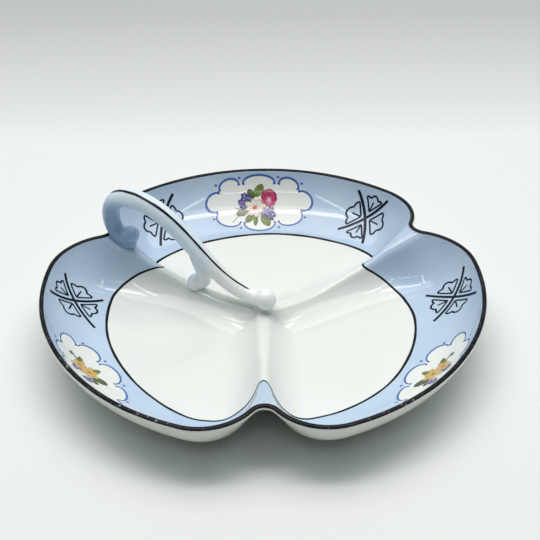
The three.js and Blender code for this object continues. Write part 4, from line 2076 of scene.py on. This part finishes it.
    def lily(self, painter: Painter, middle: Pair, reach: float, turns: tuple[float, ...]) -> None:
        """Paint a yellow flower of narrow pointed petals.

        Args:
            painter: Where to paint.
            middle: Middle of the flower.
            reach: Length of its petals.
            turns: The ways that its petals grow, in degrees.
        """
        umber, ochre, yellow = Palette.UMBER, Palette.OCHRE, Palette.YELLOW
        for k, turn in enumerate(turns):
            way = turn if self.mirror > 0.0 else 180.0 - turn
            long = reach * (1.0 + 0.15 * math.sin(2.7 * k))
            painter.blot(blade(middle, long, reach * 0.3, way, 1.0), (ochre, yellow), 2.2, 8)
            crease = turned([(0.0, 0.0), (long * 0.7, 0.0)], way, middle)
            painter.stroke(crease, 0.22, (umber, ochre), 0.3, 0.2)
        painter.blot(oval(middle, (0.8, 0.75)), (umber, Palette.ORANGE), 1.4, 6)

    def yellow_posy(self, painter: Painter) -> None:
        """Paint the bouquet with the yellow flowers.

        Args:
            painter: Where to paint.
        """
        m = self.mirror
        stem = np.array([(5.0 * m, 1.0), (10.0 * m, 0.9), (15.4 * m, 2.3)])
        painter.stroke(stem, 0.26, (Palette.LEAF_DARK, Palette.UMBER), 0.3, 0.2)
        for root, length, half, turn, dark in (
            ((-1.6, -1.6), 7.4, 2.1, 207.0, True),
            ((-3.2, 0.4), 5.4, 1.5, 186.0, True),
            ((1.4, -2.6), 4.8, 1.5, 283.0, False),
            ((7.4, -0.2), 4.6, 1.3, 350.0, False),
            ((12.2, 1.6), 3.0, 0.8, 40.0, False),
        ):
            way = turn if m > 0.0 else 180.0 - turn
            self.leaf(painter, (root[0] * m, root[1]), length, half, way, dark)
        self.violets(painter, (-5.4 * m, 2.2), 4, 1.5)
        self.violets(painter, (3.0 * m, 4.4), 3, 1.4)
        self.lily(painter, (5.4 * m, 1.5), 3.9, (10.0, 70.0, 130.0, 200.0, 255.0, 310.0))
        self.lily(painter, (0.6 * m, -1.1), 4.4, (25.0, 85.0, 150.0, 205.0, 265.0, 325.0))

    def build(self, white: Material, paint: Material) -> None:
        """Lay the reserve, then its frame and bouquet.

        Args:
            white: Finish of the reserve.
            paint: Finish of the painting.
        """
        painter = Painter(self.form, math.radians(self.turn), self.at)
        painter.blot(self.reserve(), (Palette.PETAL, Palette.PETAL), 2.0, 40, np.zeros(2))
        place(painter.done(f"reserve_{self.name}"), white)
        self.frame(painter)
        painter.shift = self.shift
        if self.posy is Posy.ROSE:
            self.rose_posy(painter)
        else:
            self.yellow_posy(painter)
        place(painter.done(f"painting_{self.name}"), paint)


@dataclass(frozen=True)
class LeafMotif:
    """Two crossed black strokes with an outlined leaf in each corner.

    Each stroke bows, and has one of its points on the motif's middle. The ends of the strokes go clockwise
    from the upper left. A corner is narrow under an opening in radians. A leaf's edge is given as shares
    of its length: all round, in its lobes and in the middle.
    """

    form: DishForm
    name: str
    turn: float
    at: float
    bows: Pair
    ends: tuple[Pair, ...]
    middles: tuple[int, int] = (20, 20)
    gap: float = 2.0
    upright: float = 6.4
    sideways: float = 6.3
    narrow: float = 1.45
    widths: Pair = (0.7, 0.66)
    count: int = 40
    edge: Triple = (0.94, 0.22, 0.06)
    edge_samples: int = 73
    edge_half: float = 0.46
    side_half: float = 0.42
    rib: Pair = (0.3, 4.9)
    rib_half: float = 0.38

    def bowed(self, start: Array, end: Array, bow: float, middle: int) -> Array:
        """A bowed stroke with one of its points on the motif's middle.

        Args:
            start: Its start, before it is moved.
            end: Its end, before it is moved.
            bow: How far it bows.
            middle: Number of the point on the middle.

        Returns:
            Its points.
        """
        share = np.linspace(0.0, 1.0, self.count)[:, None]
        way = end - start
        side = unit(np.array([-way[1], way[0]]))
        line = start + way * share + side * bow * 4.0 * share * (1.0 - share)
        return line - line[middle]

    def leaf(self, painter: Painter, one: Array, two: Array) -> None:
        """Outline a three-lobed leaf between two arms of the cross.

        Args:
            painter: Where to paint.
            one: End of the arm on one side.
            two: End of the arm on the other side.
        """
        a, b = unit(one), unit(two)
        way = unit(a + b)
        opening = math.acos(float(np.clip(a @ b, -1.0, 1.0)))
        root = way * self.gap / math.sin(opening / 2.0)
        length = self.upright if opening < self.narrow else self.sideways
        share = np.linspace(0.0, 1.0, self.edge_samples)
        turn = math.atan2(a[1], a[0]) - opening * share
        plain, lobes, middle = self.edge
        scallop = lobes * np.abs(np.cos(FULL_TURN * share))
        edge = length * (plain + scallop + middle * np.sin(math.pi * share))
        scallops = root + edge[:, None] * np.stack([np.cos(turn), np.sin(turn)], axis=1)
        rib = np.array([root + way * far for far in self.rib])
        black = (Palette.BLACK, Palette.BLACK)
        for line, half, blunt in (
            (np.array([root, scallops[0]]), self.side_half, 0.9),
            (np.array([root, scallops[-1]]), self.side_half, 0.9),
            (scallops, self.edge_half, 0.9),
            (rib, self.rib_half, 0.5),
        ):
            painter.stroke(line, half, black, 0.0, blunt)

    def build(self, paint: Material) -> Piece:
        """Paint the cross and its four leaves.

        Args:
            paint: Its finish.

        Returns:
            The motif.
        """
        painter = Painter(self.form, math.radians(self.turn), self.at)
        arms = [np.asarray(end) for end in self.ends]
        for k in range(2):
            line = self.bowed(arms[k], arms[k + 2], self.bows[k], self.middles[k])
            painter.stroke(line, self.widths[k], (Palette.BLACK, Palette.BLACK), 0.0, 0.95)
        for one, two in zip(arms, arms[1:] + arms[:1]):
            self.leaf(painter, one, two)
        return place(painter.done(f"leaf_motif_{self.name}"), paint)


MOTIFS: tuple[tuple, ...] = (
    ("back_right", 54.4, 82.0, (1.3, 1.3), ((-6.0, 11.4), (8.0, 9.7), (7.8, -12.6), (-8.9, -11.3))),
    ("right", 4.2, 81.6, (0.8, 0.0), ((-11.1, 10.1), (7.6, 9.7), (9.8, -11.0), (-10.0, -12.8))),
    ("left", 174.5, 80.9, (-0.8, 0.0), ((-4.7, 9.8), (11.9, 10.5), (9.0, -14.5), (-10.7, -9.7)), (20, 18)),
    ("back_left", 124.3, 81.6, (-1.0, -1.0), ((-8.0, 9.7), (8.4, 10.4), (8.9, -11.3), (-9.3, -11.5))),
)


# Stage


@dataclass(frozen=True)
class SoftLamp:
    """A flat lamp that shines down: its power in watts, and its size and middle in metres."""

    power: float
    size: Pair
    middle: Triple


@dataclass(frozen=True)
class Stage:
    """Pale floor, soft light from above and the camera of the photo.

    The floor's colour darkens behind the dish, between the two distances of its fade, in metres, as painted
    shade where the light falls off.
    The sky is brighter behind the dish than before it, and dimmer to the sides.
    """

    floor_size: float = 12.0
    floor_fade: Pair = (0.163, 0.4)
    # Floor colours, darkening behind the dish as painted shade.
    floor_tones: tuple[Stop, ...] = (
        (0.0, (0.8, 0.805, 0.794)),
        (0.19, (0.69, 0.694, 0.69)),
        (0.63, (0.52, 0.524, 0.522)),
        (1.0, (0.455, 0.46, 0.458)),
    )
    floor_rough: float = 0.7
    floor_shine: float = 0.2
    lens: float = 87.8
    sensor: float = 36.0
    clip: Pair = (0.01, 50.0)
    shift: Pair = (-0.0026, -0.0007)
    eye: Triple = (0.475, -443.578, 352.64)
    turn: Triple = (54.1764, 0.44, -0.7247)
    behind: float = 0.73
    before: float = 0.0
    depth_ends: Pair = (-0.6, 0.75)
    climb: float = 0.45
    beside: float = 0.48
    side_ends: Pair = (0.2, 0.5)
    sky: Colour = (0.78, 1.0, 0.95)
    glow: Colour = (1.0, 0.91, 0.92)
    panels: tuple[SoftLamp, ...] = (
        SoftLamp(5.0, (1.2, 0.17), (0.0, 0.05, 1.45)),
        SoftLamp(16.4, (2.0, 1.1), (0.0, 0.33, 1.47)),
    )
    strips: tuple[SoftLamp, ...] = (
        SoftLamp(1.7, (1.1, 0.06), (0.0, -1.1, 1.45)),
        SoftLamp(1.4, (0.06, 1.0), (-0.75, -0.45, 1.45)),
        SoftLamp(1.4, (0.06, 1.0), (0.75, -0.45, 1.45)),
    )

    def build_floor(self) -> None:
        """Lay the floor, with painted shade darkening it behind the dish."""
        deselect()
        bpy.ops.mesh.primitive_plane_add(size=self.floor_size, location=(0.0, 0.0, 0.0))
        floor = bpy.context.object
        floor.name = "floor"
        shader = Shader("floor_paper")
        # Painted shade: the floor's colour darkens with distance behind the dish.
        far = shader.span(shader.parts(shader.coords)["Y"], self.floor_fade, smooth=False)
        shader.paint(shader.ramp(far, list(self.floor_tones)))
        shader.bsdf.inputs["Roughness"].default_value = self.floor_rough
        shader.bsdf.inputs["Specular IOR Level"].default_value = self.floor_shine
        floor.data.materials.append(shader.material)

    def build_sky(self) -> None:
        """Set the sky."""
        world = bpy.data.worlds.new("sky")
        world.use_nodes = True
        bpy.context.scene.world = world
        sheet = NodeSheet(world.node_tree)
        way = sheet.parts(sheet.node("ShaderNodeTexCoord").outputs["Generated"])
        rise = sheet.math("MULTIPLY_ADD", way["Z"], self.climb, way["Y"])
        deep = sheet.span(rise, self.depth_ends, (self.before, self.behind))
        dim = sheet.span(sheet.math("ABSOLUTE", way["X"]), self.side_ends, (1.0, self.beside))
        back = sheet.node("ShaderNodeBackground")
        back.inputs["Color"].default_value = (*self.sky, 1.0)
        sheet.link(sheet.math("MULTIPLY", deep, dim), back.inputs["Strength"])
        output = sheet.node("ShaderNodeOutputWorld")
        sheet.link(back.outputs["Background"], output.inputs["Surface"])

    def build_lamps(self) -> None:
        """Hang the lamps, the panels warm and the strips in the sky's colour."""
        for number, plan in enumerate(self.panels + self.strips):
            deselect()
            bpy.ops.object.light_add(type="AREA", location=plan.middle)
            lamp = bpy.context.object
            lamp.name = f"soft_lamp_{number}"
            lamp.data.shape = "RECTANGLE"
            lamp.data.size, lamp.data.size_y = plan.size
            lamp.data.energy = plan.power
            lamp.data.color = self.glow if plan in self.panels else self.sky

    def build_camera(self) -> None:
        """Set the camera as the photo's was."""
        deselect()
        place_of = tuple(part * MM for part in self.eye)
        bpy.ops.object.camera_add(location=place_of, rotation=tuple(np.radians(self.turn)))
        camera = bpy.context.object
        camera.name = "photo_camera"
        camera.data.lens = self.lens
        camera.data.sensor_width = self.sensor
        camera.data.shift_x, camera.data.shift_y = self.shift
        camera.data.clip_start, camera.data.clip_end = self.clip
        bpy.context.scene.camera = camera

    def build(self) -> None:
        """Set the whole stage."""
        self.build_floor()
        self.build_sky()
        self.build_lamps()
        self.build_camera()
        bpy.context.scene.view_settings.view_transform = "Standard"


def main() -> None:
    """Build the dish, its lines, its handle, its ornament and the stage."""
    logging.basicConfig(level=logging.INFO, format="%(name)s %(message)s")
    form = DishForm()
    porcelain, enamel = PorcelainFinish(), EnamelFinish()
    DishBody(form).build(porcelain)
    RimLine(form).build(enamel)
    InnerLine(form).build(enamel)
    handle = Handle(form)
    handle.build_line(enamel, handle.build(porcelain))
    white, paint = porcelain.plain("reserve_porcelain"), PaintFinish().build("overglaze_paint")
    low = {"posy": Posy.YELLOW, "end_bulge": 6.0, "near_bulge": 3.0, "upper": 0.8}
    for medallion in (
        Medallion(form, "back", 90.9, Posy.ROSE),
        Medallion(form, "left", 210.0, at=81.0, **low),
        Medallion(form, "right", 327.6, at=81.4, mirror=-1.0, shift=(1.2, -0.9), **low),
    ):
        medallion.build(white, paint)
    ink = PaintFinish(rough=0.15, shine=0.2).build("overglaze_black")
    for row in MOTIFS:
        LeafMotif(form, *row).build(ink)
    Stage().build()


if __name__ == "__main__":
    main()
